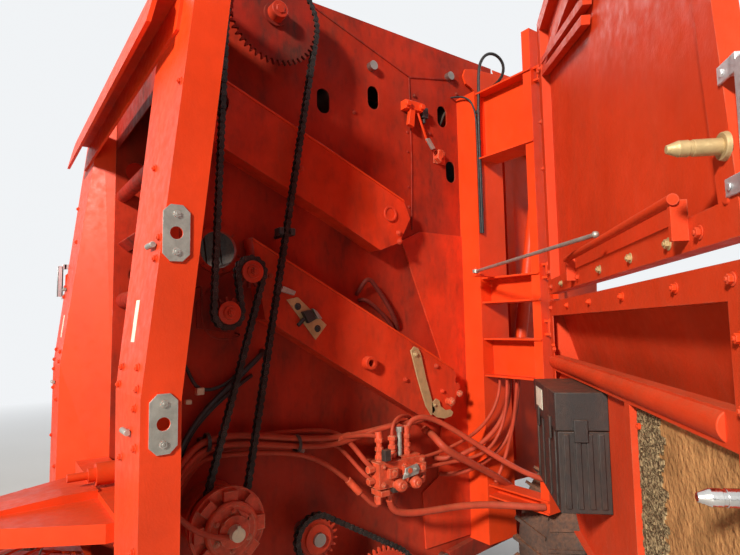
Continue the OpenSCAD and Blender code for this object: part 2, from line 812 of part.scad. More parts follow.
module hose_fitting(at, dir, r, reach) {
    // Sleeve over a hose's end that runs on to the face it is screwed into
    tilt = dir[2] != 0 ? 90 - 90 * dir[2] : 90 * dir[0];
    translate(at - dir * (fitting_l - reach)) rotate([0, tilt, 0]) cylinder(r = r + 3, h = fitting_l);
}

module hoses() {
    color("orangered") for (h = hoses_table) {
        pts = h[HOSE_PTS];
        last = pts[len(pts) - 1];
        hose(h[HOSE_R], smooth_route(pts));
        hose_fitting(pts[0], h[HOSE_ENDS][0], h[HOSE_R], hose_reach(pts[0], h[HOSE_ENDS][0]));
        hose_fitting(last, h[HOSE_ENDS][1], h[HOSE_R], hose_reach(last, h[HOSE_ENDS][1]));
    }
}

// Distance from a hose's end to the face its fitting meets
function hose_reach(at, dir) =
    dir == DOWN ? (at[2] > valve[3] ? at[2] - valve[3] - 84 : at[2] - post_foot_z - post_t) :
    dir == UP ? (at[2] > valve[3] ? outriggers[1][0] - at[2] : valve[2] - 44 - at[2]) :
    dir == FRONT ? valve[1] - at[0] :
    at[0] > valve[0] ? at[0] - valve[0] : at[0] - hose_post_x;

// Route through its points on a smooth curve, three steps a stretch
function smooth_route(p) = [
    for (i = [0:len(p) - 2], t = [0, 0.33, 0.67])
        spline_point(p[max(i - 1, 0)], p[i], p[i + 1], p[min(i + 2, len(p) - 1)], t),
    p[len(p) - 1]
];
function spline_point(a, b, c, d, t) = 0.5 * (
    2 * b + (c - a) * t + (2 * a - 5 * b + 4 * c - d) * t * t + (3 * b - a - 3 * c + d) * t * t * t
);

// Gearbox with the shaft that drives the chain side
gearbox_x = [-480, wall_x - eye_gap];
gearbox_y = 130;
pto_z = 880;
pto_x = 40;
cross_beam = [-228, -70, 705, 820];

module gearbox() {
    color("orangered") {
        block([gearbox_x[0], -gearbox_y, 735], [gearbox_x[1], gearbox_y, 935]);
        bar_y(hub_axis[0], hub_axis[1], 96, -gearbox_y - 40, gearbox_y + 40);
        bar_x(0, pto_z, 48, gearbox_x[1] - 1, pto_x - pto_l - 30);
        bar_x(0, pto_z, 30, pto_x - pto_l - 31, pto_x - pto_l);
    }
    color("silver") {
        bar_x(0, pto_z, pto_r, pto_x - pto_l - 1, pto_x);
        bar_y(hub_axis[0], hub_axis[1], hub_axis[2], gearbox_y, chain_y + 136);
        bar_y(hub_axis[0], hub_axis[1], hub_axis[2], -y_out - 40, -gearbox_y);
    }
}

// Drawbar with its hitch eye and the jack's sleeve
bar_root_z = [cross_beam[2], 830];
jack_x = 1010;
jack_y = 118;
jack_r = 31;
sleeve_r = 39;
foot_r = 110;
jack_sleeve_top_z = 860;
jack_travel = 120;
jack_top = jack_sleeve_top_z + jack_travel + 20;

module drawbar() {
    w = drawbar_w / 2;
    eye_x = hitch_x - 110;
    color("orangered") difference() {
        union() {
            // Cross beam between the side plates
            block([wall_x + eye_gap, -y_out - 0.5, cross_beam[2]],
                [cross_beam[1], y_out + 0.5, cross_beam[3]]);
            side_sheet(-w, w) polygon([
                [cross_beam[1] - 1, bar_root_z[0]], [cross_beam[1] - 1, bar_root_z[1]], [60, bar_root_z[1]],
                [700, 780], [eye_x, hitch_z + 55], [eye_x, hitch_z - 55], [700, 690],
            ]);
            for (k = [-1, 1]) translate([0, 0, bar_root_z[0] + 20]) linear_extrude(70)
                polygon([
                    [cross_beam[1] - 1, k * w], [cross_beam[1] - 1, k * 420],
                    [cross_beam[1] + 30, k * 420], [560, k * w],
                ]);
            bar_x(0, hitch_z, 38, eye_x - 1, eye_x + 50);
            translate([hitch_x, 0, hitch_z - hitch_eye_t / 2]) cylinder(r = 54, h = hitch_eye_t);
            block([eye_x, -30, hitch_z - hitch_eye_t / 2], [hitch_x - 30, 30, hitch_z + hitch_eye_t / 2]);
            translate([jack_x, jack_y, jack_sleeve_top_z - 260]) cylinder(r = sleeve_r, h = 260);
            block([jack_x - 40, w - 1, 650], [jack_x + 40, jack_y, 720]);
        }
        translate([hitch_x, 0, hitch_z - 60]) cylinder(r = hitch_eye_r, h = 120);
        translate([jack_x, jack_y, 500]) cylinder(r = jack_r, h = 400);
    }
}

module jack_leg() {
    color("silver") translate([jack_x, jack_y, 0]) {
        cylinder(r = foot_r, h = 12);
        translate([0, 0, 11]) cylinder(r = jack_r - eye_gap, h = jack_top - 11);
        translate([0, 0, jack_top - 1]) cylinder(r = jack_r + 6, h = 40);
    }
}

// Axle beam carried under the rear posts, with a spindle at each end
axle_beam = 100;
axle_arm_t = 30;
spindle_end = wheel_y + 70;

module axle() {
    h = axle_beam / 2;
    color("darkred") {
        block([axle_x - h, -y_out - axle_arm_t, tyre_r - h], [axle_x + h, y_out + axle_arm_t, tyre_r + h]);
        both_sides() {
            side_sheet(y_out + eye_gap, y_out + axle_arm_t) polygon([
                [axle_x - h, tyre_r - h], [-1900, tyre_r - h - 20], [-1530, 330], [-1530, 400],
                [-1690, rear_post_foot_z - eye_gap], [-1905, rear_post_foot_z - eye_gap],
                [axle_x + h, tyre_r + h], [axle_x - h, tyre_r + h],
            ]);
            bar_y(axle_x, tyre_r, 48, y_out + axle_arm_t - 1, wheel_y - 96);
            bar_y(axle_x, tyre_r, spindle_r, wheel_y - 97, spindle_end);
        }
    }
}

// Wheels
module around_axle(side) {
    translate([axle_x, side * wheel_y, tyre_r]) rotate([-90 * side, 0, 0]) children();
}

module tyre(side) {
    w = tyre_w / 2;
    r = tyre_r;
    color("black") around_axle(side) rotate_extrude($fn = 72) polygon([
        [rim_r + eye_gap, -w * 0.8], [rim_r + 30, -w * 0.86], [r * 0.72, -w], [r * 0.85, -w],
        [r * 0.96, -w * 0.88], [r * 0.993, -w * 0.62], [r, 0], [r * 0.993, w * 0.62], [r * 0.96, w * 0.88],
        [r * 0.85, w], [r * 0.72, w], [rim_r + 30, w * 0.86], [rim_r + eye_gap, w * 0.8],
    ]);
}

hub_half = 92;

module rim(side) {
    w = tyre_w / 2 * 0.8;
    color("silver") around_axle(side) difference() {
        rotate_extrude($fn = 72) polygon([
            [spindle_r + eye_gap, -hub_half], [78, -hub_half], [78, 20], [110, 30], [170, 20],
            [rim_r - 30, 24], [rim_r - 30, -w + 10], [rim_r - 8, -w], [rim_r, -w], [rim_r, w], [rim_r - 8, w],
            [rim_r - 24, 34], [170, 30], [110, 40], [78, 34], [70, hub_half], [spindle_r + eye_gap, hub_half],
        ]);
    }
}

module tyre_left() { tyre(1); }
module tyre_right() { tyre(-1); }
module rim_left() { rim(1); }
module rim_right() { rim(-1); }

// Doors. Each is drawn closed, with its hinge pins at the origin, X towards the free edge and
// Y outwards, then turned about the pins.
door_in = -8;
door_start = 30;
module left_hinge(angle) {
    translate([hinge_x, hinge_y, 0]) rotate([0, 0, angle]) children();
}
module right_hinge() {
    mirror([0, 1, 0]) left_hinge(0) children();
}

module door_barrels(sets) {
    // Barrels that turn on the hinge pins, each with its strap to the door
    for (z = sets) translate([0, 0, z + hinge_lug_t + 1]) difference() {
        h = hinge_set_h - 2 * hinge_lug_t - 2;
        union() {
            cylinder(r = 15, h = h);
            block([0, door_in, 4], [door_start + 2, door_in + 12, h - 4]);
        }
        translate([0, 0, -1]) cylinder(r = hinge_pin_r + eye_gap, h = h + 2);
    }
}

function door_edge(z) = upper_door_l - (z - upper_door_z) * lean_x;
upper_outline = [
    [door_start, upper_door_z], [door_edge(upper_door_z), upper_door_z],
    [door_edge(upper_door_top_z), upper_door_top_z], [door_start, upper_door_top_z],
];
latch_s = latch_holes[0][0] - hinge_x;
low_latch_s = latch_holes[1][0] - hinge_x;
pin_reach = 92;
stay_rail_z = 1722;
stay_rail_r = 11;
rail_out = 26;

module latch_pin(s, z) {
    // Bullet-nosed pin that enters the latch plate on the post
    translate([s, door_in + 1, z]) rotate([90, 0, 0]) {
        cylinder(r = 20, h = 6);
        cylinder(r = latch_pin_r, h = pin_reach - 22);
        translate([0, 0, pin_reach - 22]) cylinder(r1 = latch_pin_r, r2 = latch_pin_r * 0.5, h = 16);
    }
}

module upper_door() {
    w1 = door_in + upper_door_t;
    side_sheet(w1 - skin_t, w1) polygon(upper_outline);
    side_sheet(door_in, w1 - skin_t + 1) difference() {
        polygon(upper_outline);
        polygon(shrunk(reversed(upper_outline), stile_w));
    }
    // Rail across the upper part
    block([door_start + stile_w - 1, door_in + 6, top_rail_z],
        [door_edge(top_rail_z + 60) - stile_w + 1, w1 - skin_t + 1, top_rail_z + 50]);
    door_barrels(upper_hinges);
    latch_pin(latch_s, latch_holes[0][1]);
}
function reversed(v) = [for (i = [len(v) - 1:-1:0]) v[i]];

module stay_rail() {
    // Rail on two brackets along which the door stay's end runs
    y = door_in - rail_out;
    translate([560, y, stay_rail_z]) rotate([0, 90, 0]) cylinder(r = stay_rail_r, h = 960);
    for (x = [572, 1508]) block([x - 6, y - 4, upper_door_z + 20], [x + 6, door_in + 1, stay_rail_z]);
}

module upper_door_left() {
    color("orangered") left_hinge(door_open) {
        upper_door();
        stay_rail();
    }
}

module upper_door_right() {
    color("orangered") right_hinge() upper_door();
}

// Lower door: section of its outer sheet in Y and Z
lower_edge_s = upper_door_l;
pan_out = door_in + upper_door_t;
belly_z = 1080;
function pan_section(d) = [
    [pan_out - d, lower_door_top_z - d], [pan_out + lower_bulge - d, belly_z],
    [pan_out + lower_bulge - d, lower_door_z + d],
];
arch_l = 320;
arch_h = 135;
// Depth of the inner panel behind the door's inner face
panel_in = 22;

module lower_door() {
    outer = pan_section(0);
    side_end = concat([[door_in, lower_door_top_z]], outer, [[door_in, lower_door_z]]);
    difference() {
        union() {
            // Outer sheet
            cross_sheet(door_start, lower_edge_s) polygon(concat(outer, reversed(pan_section(skin_t))));
            // Returns along the free edge and the hinge side
            for (x = [door_start, lower_edge_s - skin_t]) cross_sheet(x, x + skin_t) polygon(side_end);
            // Top rail and foot
            block([door_start, door_in, lower_door_top_z - stile_w],
                [lower_edge_s, pan_out - skin_t + 1, lower_door_top_z]);
            block([door_start, door_in, lower_door_z],
                [lower_edge_s, pan_out + lower_bulge - 1, lower_door_z + skin_t]);
            // Stiles on the inner side
            for (x = [door_start, lower_edge_s - stile_w])
                block([x, door_in, lower_door_z], [x + stile_w, door_in + skin_t, lower_door_top_z]);
            // Rail across the middle and frame of the lower panel
            block([door_start, door_in, 1290], [lower_edge_s, door_in + 34, 1355]);
            block([lower_edge_s - 640, door_in, lower_door_z], [lower_edge_s - 600, door_in + 30, 1291]);
            block([door_start + stile_w - 1, door_in + panel_in, lower_door_z],
                [lower_edge_s - stile_w + 1, door_in + panel_in + skin_t, 1291]);
        }
        // Arch over the wheel
        translate([0, -50, 0]) side_sheet(0, 400) polygon([
            [door_start - 10, lower_door_z - 10], [door_start + arch_l, lower_door_z - 10],
            [door_start + arch_l * 0.6, lower_door_z + arch_h * 0.7],
            [door_start - 10, lower_door_z + arch_h],
        ]);
    }
    door_barrels(lower_hinges);
    latch_pin(low_latch_s, latch_holes[1][1]);
}

module lower_door_left() {
    color("orangered") left_hinge(door_open) lower_door();
}

module lower_door_right() {
    color("orangered") right_hinge() lower_door();
}

// Toolbox inside the left lower door: near end, length, foot, height, depth
box_s = 400;
box_l = 420;
box_z = 925;
box_h = 360;
box_d = 150;

module toolbox() {
    color("dimgray") left_hinge(door_open) {
        y1 = door_in + panel_in;
        lid = box_z + box_h * 0.68;
        block([box_s, y1 - box_d, box_z], [box_s + box_l, y1, lid]);
        block([box_s - 6, y1 - box_d - 6, lid], [box_s + box_l + 6, y1, box_z + box_h]);
        block([box_s + box_l / 2 - 20, y1 - box_d - 14, lid - 40],
            [box_s + box_l / 2 + 20, y1 - box_d - 5, lid + 40]);
    }
}

// Stay that holds the left upper door open
stay_pivot = [-1595, 812];
stay_z = 1752;
stay_l = 1070;
stay_turn = 62.3;
stay_r = 7;
stay_pin_r = 8;

module stay_bracket() {
    // Plate and upright pin on the outrigger that the stay turns on
    x = stay_pivot[0];
    y = stay_pivot[1];
    block([rear_post_x - 20, y - 18, stay_z - 24], [x + 18, y + 18, stay_z - 14]);
    block([rear_post_x - 40, y_out + rear_post_w - 2, stay_z - 24], [rear_post_x - 19, y + 18, stay_z - 14]);
    translate([x, y, stay_z - 15]) cylinder(r = stay_pin_r, h = 34);
}

module door_stay() {
    color("silver") translate([stay_pivot[0], stay_pivot[1], stay_z]) rotate([0, 0, stay_turn]) {
        difference() {
            union() {
                translate([0, 0, -8]) cylinder(r = 17, h = 16);
                translate([12, 0, 0]) rotate([0, 90, 0]) cylinder(r = stay_r, h = stay_l - 12);
                translate([stay_l, 0, 0]) sphere(r = stay_r + 4);
            }
            translate([0, 0, -9]) cylinder(r = stay_pin_r + eye_gap, h = 18);
        }
    }
}

// Tailgate
tail_front_x = split_x - side_gap;
tail_clear_r = 226;
tail_outline = [
    [tail_front_x, 640], [tail_front_x, side_top_z - 3], [-2320, side_top_z - 3], [-2740, 2790],
    [tail_rear_x + 30, 2450], [tail_rear_x, 1900], [-2905, 1300], [-2720, 870], [-2420, 640],
];
tail_skin_t = 4;
tail_rollers = [[-2160, 2740], [-2740, 2420], [-2800, 1500], [-2560, 880], [-2110, 780]];

module tailgate_shell() {
    color("orangered") difference() {
        union() {
            both_sides() difference() {
                side_sheet(y_in, y_out) polygon(tail_outline);
                for (r = tail_rollers) bar_y(r[0], r[1], 20 + plate_hole_gap, y_in - 1, y_out + 1);
            }
            // Skin over the top and down the upper rear
            intersection() {
                side_sheet(-y_in - 1, y_in + 1) difference() {
                    polygon(tail_outline);
                    polygon(shrunk(tail_outline, tail_skin_t));
                }
                side_sheet(-y_in - 1, y_in + 1)
                    polygon([[-2080, 2700], [-2080, 3100], [-3100, 3100], [-3100, 1960], [-2700, 1960]]);
            }
        }
        bar_y(tail_pivot_x, tail_pivot_z, tail_clear_r, -y_out - 1, y_out + 1);
    }
}

ear_y = y_out + side_gap;
ear_t = 12;
cyl_foot = [-2030, 1300];
cyl_head = [-2310, 2580];
cyl_y = y_out + 79;
cyl_eye_r = 36;
cyl_pin_r = 18;
cyl_eye_w = 34;

module tail_ear() {
    // Ear that reaches forward to the pivot, outside the front body's side plate
    difference() {
        union() {
            side_sheet(ear_y, ear_y + ear_t) polygon([
                [tail_pivot_x - 10, tail_pivot_z - 58], [tail_pivot_x + 40, tail_pivot_z - 40],
                [tail_pivot_x + 58, tail_pivot_z], [tail_pivot_x + 40, tail_pivot_z + 42],
                [tail_pivot_x - 20, tail_pivot_z + 58], [-2200, tail_pivot_z + 90], [-2420, 2780],
                [-2420, 2500], [-2260, 2480],
            ]);
            // Strip that closes the gap between the ear and the tailgate's side
            side_sheet(y_out + eye_gap, ear_y + 1) polygon([
                [-2060, 2640], [-2060, 2900], [-2200, 2920], [-2400, 2770], [-2400, 2520], [-2260, 2500],
            ]);
        }
    }
    bar_y(tail_pivot_x, tail_pivot_z, tail_pin_r, y_in - 30, ear_y + 1);
    // Stub that the eye of the cylinder's rod sits against
    bar_y(cyl_head[0], cyl_head[1], cyl_pin_r, ear_y + ear_t - 1, cyl_y - cyl_eye_w / 2 - eye_gap);
    // Ribs down the side
    for (x = [-2060, -2500]) block([x - 30, y_out + eye_gap, 760],
        [x + 30, y_out + 36, x > -2100 ? 2460 : 2440]);
    block([-2470, y_out + eye_gap, 1500], [-2090, y_out + 36, 1560]);
    side_sheet(y_out + eye_gap, y_out + 30) polygon([
        [-2530, 1500], [-2530, 1560], [tail_rear_x + 60, 1560], [tail_rear_x + 60, 1500],
    ]);
}

module tailgate_frame() {
    color("orangered") {
        both_sides() tail_ear();
        // Crossbars over the open rear
        for (p = [[tail_rear_x + 24, 1700], [-2830, 1180], [-2450, 690]])
            block([p[0] - 12, -y_in, p[1] - 40], [p[0] + 12, y_in, p[1] + 40]);
    }
}

module tailgate_belts() {
    color("black") {
        for (r = tail_rollers) {
            bar_y(r[0], r[1], 70, -y_in + 4, y_in - 4);
            bar_y(r[0], r[1], 20, -y_out, y_out);
        }
        wheels = [for (r = reversed(tail_rollers)) [r[0], r[1], 70 + eye_gap + belt_t / 2, 1]];
        for (i = [0:belt_count - 1]) {
            y0 = -y_in + 10 + i * (belt_w + belt_gap);
            side_sheet(y0, y0 + belt_w) loop_band(wheels, belt_t / 2);
        }
    }
}

// Cylinders that lift the tailgate
cyl_v = cyl_head - cyl_foot;
cyl_turn = atan2(cyl_v[1], cyl_v[0]);
barrel_l = 900;
piston_s = 130;

module along_cylinder(side) {
    translate([cyl_foot[0], side * cyl_y, cyl_foot[1]]) rotate([0, -cyl_turn, 0]) children();
}

module eye_plate(r, pin_r, w) {
    rotate([90, 0, 0]) translate([0, 0, -w / 2]) difference() {
        cylinder(r = r, h = w);
        translate([0, 0, -1]) cylinder(r = pin_r + eye_gap, h = w + 2);
    }
}

module barrel(side) {
    color("orangered") along_cylinder(side) {
        eye_plate(cyl_eye_r, cyl_pin_r, cyl_eye_w);
        difference() {
            union() {
                translate([cyl_eye_r - 4, 0, 0]) rotate([0, 90, 0]) cylinder(r = 15, h = 22);
                translate([cyl_eye_r + 16, 0, 0]) rotate([0, 90, 0])
                    cylinder(r = cyl_r, h = barrel_l - cyl_eye_r - 16);
            }
            translate([70, 0, 0]) rotate([0, 90, 0]) cylinder(r = cyl_bore_r, h = barrel_l - 110);
            translate([80, 0, 0]) rotate([0, 90, 0]) cylinder(r = rod_r + eye_gap, h = barrel_l);
        }
    }
}

module rod(side) {
    color("silver") along_cylinder(side) {
        translate([piston_s, 0, 0]) rotate([0, 90, 0]) cylinder(r = cyl_bore_r - eye_gap, h = 40);
        translate([piston_s + 39, 0, 0]) rotate([0, 90, 0])
            cylinder(r = rod_r, h = norm(cyl_v) - piston_s - 39 - cyl_eye_r + 6);
        translate([norm(cyl_v), 0, 0]) rotate([90, 0, 0]) {
            cylinder(r = cyl_eye_r, h = cyl_eye_w, center = true);
            reach = cyl_eye_w / 2 + 14;
            translate([0, 0, side > 0 ? -reach : 0]) cylinder(r = cyl_pin_r, h = reach);
        }
    }
}

module barrel_left() { barrel(1); }
module barrel_right() { barrel(-1); }
module rod_left() { rod(1); }
module rod_right() { rod(-1); }

module cylinder_bracket() {
    // Plate behind the rear post with the pin that the cylinder's foot turns on
    z = cyl_foot[1];
    x1 = rear_post_x - rear_post_l;
    y1 = cyl_y - cyl_eye_w / 2 - 2;
    block([cyl_foot[0] - 30, y1 - 12, z - 60], [x1 + 1, y1, z + 28]);
    bar_y(cyl_foot[0], z, cyl_pin_r, y1 - 1, cyl_y + cyl_eye_w / 2 + 10);
}

// Feed rotor behind the pickup
rotor_x = -335;
rotor_z = 450;
rotor_r = 160;
rotor_shaft_r = 25;
star_count = 12;
star_t = 14;

module feed_rotor() {
    color("gray") {
        bar_y(rotor_x, rotor_z, rotor_shaft_r, -y_out - 30, y_out + 30);
        bar_y(rotor_x, rotor_z, 62, -y_in + 6, y_in - 6);
        for (i = [0:star_count - 1]) {
            y0 = -y_in + 40 + i * (chamber_w - 80 - star_t) / (star_count - 1);
            side_sheet(y0, y0 + star_t) translate([rotor_x, rotor_z]) polygon([
                for (k = [0:3]) each [
                    polar(58, 90 * k - 40 + i * 8), polar(rotor_r, 90 * k - 6 + i * 8),
                    polar(rotor_r, 90 * k + 6 + i * 8), polar(72, 90 * k + 14 + i * 8),
                ],
            ]);
        }
    }
}

// Pickup
pivot_x = -245;
pivot_z = 330;
pivot_r = 16;
pivot_pin_l = 24;
pickup_half = pickup_w / 2;
reel_half = pickup_half - 30;
plate_t = 8;
bar_count = 4;
bar_r = 118;
tine_count = 16;
tine_step = (2 * reel_half - 120) / (tine_count - 1);
band_r = 205;
band_t = 3;
band_w = tine_step - 46;
band_rear_x = -70;
band_top_z = reel_z + 130;
band_foot_z = reel_z - band_r + 40;

module pickup_plate_shape() {
    difference() {
        union() {
            translate([reel_x, reel_z]) circle(r = band_r + 8);
            polygon([
                [reel_x - 60, reel_z + 200], [reel_x - 60, reel_z - 200], [-70, 190], [-70, 420],
            ]);
        }
        translate([reel_x, reel_z]) circle(r = 26 + eye_gap);
    }
}

module band_shape() {
    // Stripper band: round the front of the reel and back over its top and bottom
    difference() {
        union() {
            translate([reel_x, reel_z]) circle(r = band_r);
            polygon([
                [reel_x, reel_z + band_r], [reel_x, reel_z - band_r], [band_rear_x, band_foot_z],
                [band_rear_x, band_top_z],
            ]);
        }
        translate([reel_x, reel_z]) circle(r = band_r - band_t);
        polygon([
            [reel_x, reel_z + band_r - band_t], [reel_x, reel_z - band_r + band_t],
            [band_rear_x - 1, band_foot_z + band_t], [band_rear_x - 1, band_top_z - band_t],
        ]);
    }
}

module pickup_frame() {
    color("orangered") {
        both_sides() {
            side_sheet(pickup_half - plate_t, pickup_half) pickup_plate_shape();
            // Arm back to the pivot beside the side plate
            difference() {
                union() {
                    side_sheet(y_out + 8, y_out + 20) polygon([
                        [-70, 400], [pivot_x - 20, pivot_z + 30], [pivot_x - 30, pivot_z - 10],
                        [pivot_x, pivot_z - 30], [-70, 220],
                    ]);
                    block([-78, y_out + 8, 200], [-66, pickup_half - plate_t + 1, 420]);
                }
                bar_y(pivot_x, pivot_z, pivot_r + eye_gap, y_out, y_out + 40);
            }
            bar_y(gauge_x, gauge_r, gauge_pin_r, pickup_half - 1, pickup_half + 110);
            block([gauge_x - 20, pickup_half - 1, gauge_r - 20], [gauge_x + 20, pickup_half + 12, 330]);
        }
        // Cross member behind the reel, and the angles that carry the ends of the bands
        block([-78, -y_out - 9, 200], [-72, y_out + 9, 300]);
        cross_y = pickup_half - plate_t + 1;
        block([band_rear_x - 6, -cross_y, band_top_z - 60], [band_rear_x + 2, cross_y, band_top_z]);
        block([band_rear_x - 6, -cross_y, band_foot_z], [band_rear_x + 2, cross_y, band_foot_z + 45]);
    }
    color("orangered") for (i = [0:tine_count - 2]) {
        y0 = -reel_half + 60 + (i + 0.5) * tine_step - band_w / 2;
        side_sheet(y0, y0 + band_w) band_shape();
    }
}

module pickup_reel() {
    color("gray") {
        bar_y(reel_x, reel_z, 26, -pickup_half - 6, pickup_half + 6);
        bar_y(reel_x, reel_z, 52, -reel_half, reel_half);
        for (y = [-reel_half, -6, reel_half - 12]) side_sheet(y, y + 12)
            translate([reel_x, reel_z]) circle(r = bar_r + 18);
        for (k = [0:bar_count - 1]) {
            a = 360 / bar_count * k + 20;
            c = [reel_x, reel_z] + polar(bar_r, a);
            bar_y(c[0], c[1], 14, -reel_half, reel_half);
            for (i = [0:tine_count - 1]) translate([reel_x, -reel_half + 60 + i * tine_step, reel_z])
                rotate([0, 90 - a, 0]) translate([0, 0, bar_r])
                    cylinder(d = tine_d, h = tine_tip_r - bar_r, $fn = 16);
        }
    }
}

guard_x = 405;
guard_z = 533;

module wind_guard() {
    color("orangered") {
        y1 = pickup_half - plate_t;
        bar_y(guard_x, guard_z, 20, -y1 + 1, y1 - 1);
        both_sides() side_sheet(y1 - 10, y1) polygon([
            [guard_x + 20, guard_z - 14], [guard_x + 20, guard_z + 16], [120, 625], [60, 600], [20, 460],
            [90, 460], [110, 560],
        ]);
    }
    color("silver") for (i = [0:18]) {
        y = -900 + i * 100;
        translate([guard_x, y, guard_z + 10]) rotate([0, -74, 0]) cylinder(d = 10, h = 330, $fn = 16);
    }
}

gauge_r = 150;
gauge_pin_r = 14;
gauge_w = 74;
gauge_y = pickup_half + 62;
gauge_x = 60;

module gauge_wheel(side) {
    color("black") translate([gauge_x, side * gauge_y, gauge_r]) rotate([-90, 0, 0])
        rotate_extrude() polygon([
            [gauge_pin_r + eye_gap, -gauge_w / 2 - 6], [40, -gauge_w / 2 - 6], [44, -16], [96, -16],
            [100, -gauge_w / 2], [gauge_r - 12, -gauge_w / 2], [gauge_r, -gauge_w / 2 + 14],
            [gauge_r, gauge_w / 2 - 14], [gauge_r - 12, gauge_w / 2], [100, gauge_w / 2], [96, 16], [44, 16],
            [40, gauge_w / 2 + 6], [gauge_pin_r + eye_gap, gauge_w / 2 + 6],
        ]);
}

module gauge_wheel_left() { gauge_wheel(1); }
module gauge_wheel_right() { gauge_wheel(-1); }

place() side_plate_left();
place() side_plate_right();
place() front_post_left();
place() front_post_right();
place() front_beam();
place() cross_tubes();
place() rear_post_left();
place() rear_post_right();
place() side_channels();
place() top_cover();
place() net_box();
place() chamber_rollers();
place() belts();
place() top_sprocket();
place() small_sprockets();
place() drive_hub();
place() main_chain();
place() lower_drive();
place() valve_block();
place() hoses();
place() gearbox();
place() drawbar();
place() jack_leg();
place() axle();
place() tyre_left();
place() tyre_right();
place() rim_left();
place() rim_right();
place() door_stay();
place() upper_door_left();
place() lower_door_left();
place() toolbox();
place() upper_door_right();
place() lower_door_right();
place() tailgate_shell();
place() tailgate_frame();
place() tailgate_belts();
place() barrel_left();
place() barrel_right();
place() rod_left();
place() rod_right();
place() feed_rotor();
place() pickup_frame();
place() pickup_reel();
place() wind_guard();
place() gauge_wheel_left();
place() gauge_wheel_right();
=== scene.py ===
import math

import bmesh
import bpy
from mathutils import Matrix, Vector
from mathutils import noise as smooth_noise


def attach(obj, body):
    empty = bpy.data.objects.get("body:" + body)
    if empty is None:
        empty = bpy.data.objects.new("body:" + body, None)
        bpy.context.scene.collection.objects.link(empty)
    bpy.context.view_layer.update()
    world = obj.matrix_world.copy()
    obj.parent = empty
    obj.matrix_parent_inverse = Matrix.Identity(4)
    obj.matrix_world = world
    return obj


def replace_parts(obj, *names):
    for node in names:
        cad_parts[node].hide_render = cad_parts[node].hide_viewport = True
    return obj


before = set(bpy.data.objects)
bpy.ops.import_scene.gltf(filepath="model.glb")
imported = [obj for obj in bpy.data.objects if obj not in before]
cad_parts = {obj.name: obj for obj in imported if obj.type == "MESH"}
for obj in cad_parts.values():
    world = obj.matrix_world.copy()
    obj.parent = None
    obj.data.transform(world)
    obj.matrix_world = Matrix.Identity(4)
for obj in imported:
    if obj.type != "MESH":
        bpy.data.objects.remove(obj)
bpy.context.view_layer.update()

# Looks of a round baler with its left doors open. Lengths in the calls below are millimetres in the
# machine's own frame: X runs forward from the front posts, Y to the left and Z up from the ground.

MM = 0.001
HITCH = Vector((1480.0, 0.0, 640.0))
LEFT = (0, 1, 0)


def at(x, y, z):
    """A point of the machine, in metres from the hitch eye."""
    return (Vector((x, y, z)) - HITCH) * MM


def on_both_sides(build):
    for side, name in ((1, "left"), (-1, "right")):
        build(side, name)


# Camera at the photograph's angle

PHOTO_WIDTH, FOCAL_PX = 740, 545
CAMERA_AT = (357, 2660, 1500)
HEADING, PITCH, ROLL = (math.radians(a) for a in (35.5, 5.0, -1.0))


def photo_camera():
    look = Vector((-math.sin(HEADING) * math.cos(PITCH), -math.cos(HEADING) * math.cos(PITCH), math.sin(PITCH)))
    level = Vector((-math.cos(HEADING), math.sin(HEADING), 0))
    rise = level.cross(look)
    right = level * math.cos(ROLL) + rise * math.sin(ROLL)
    up = rise * math.cos(ROLL) - level * math.sin(ROLL)
    data = bpy.data.cameras.new("photo_camera")
    data.sensor_width = 36
    data.lens = 36 * FOCAL_PX / PHOTO_WIDTH
    data.clip_end = 60
    camera = bpy.data.objects.new("photo_camera", data)
    bpy.context.scene.collection.objects.link(camera)
    camera.matrix_world = Matrix.Translation(at(*CAMERA_AT)) @ Matrix((right, up, -look)).transposed().to_4x4()
    bpy.context.scene.camera = camera


photo_camera()


# Node helpers

def add(tree, kind, **values):
    node = tree.nodes.new(kind)
    for key, value in values.items():
        setattr(node, key, value)
    return node


def put(tree, socket, value):
    """Links a socket's value, or sets it where the value is a plain one."""
    if isinstance(value, bpy.types.NodeSocket):
        tree.links.new(value, socket)
    else:
        socket.default_value = value


def maths(tree, operation, *values, clamp=False):
    node = add(tree, "ShaderNodeMath", operation=operation, use_clamp=clamp)
    for socket, value in zip(node.inputs, values):
        put(tree, socket, value)
    return node.outputs[0]


def blend_colour(tree, factor, first, second):
    node = add(tree, "ShaderNodeMix", data_type="RGBA")
    for index, value in ((0, factor), (6, first), (7, second)):
        put(tree, node.inputs[index], value)
    return node.outputs[2]


def ramp_between(tree, value, low, high, to_low=0.0, to_high=1.0):
    node = add(tree, "ShaderNodeMapRange")
    for socket, v in zip(node.inputs, (value, low, high, to_low, to_high)):
        put(tree, socket, v)
    return node.outputs[0]


def object_place(tree):
    return add(tree, "ShaderNodeTexCoord").outputs["Object"]


def surface_normal(tree):
    return add(tree, "ShaderNodeNewGeometry").outputs["Normal"]


def parts_of(tree, vector):
    node = add(tree, "ShaderNodeSeparateXYZ")
    put(tree, node.inputs[0], vector)
    return node.outputs


def stretched(tree, vector, scale, turn=(0, 0, 0)):
    node = add(tree, "ShaderNodeMapping")
    put(tree, node.inputs["Vector"], vector)
    node.inputs["Scale"].default_value = scale
    node.inputs["Rotation"].default_value = turn
    return node.outputs[0]


def noise(tree, where, scale, detail=4.0, rough=0.55):
    node = add(tree, "ShaderNodeTexNoise")
    for label, value in (("Vector", where), ("Scale", scale), ("Detail", detail), ("Roughness", rough)):
        put(tree, node.inputs[label], value)
    return node.outputs["Fac"]


def relief(tree, shader, height, distance):
    node = add(tree, "ShaderNodeBump")
    node.inputs["Distance"].default_value = distance
    put(tree, node.inputs["Height"], height)
    put(tree, shader.inputs["Normal"], node.outputs[0])


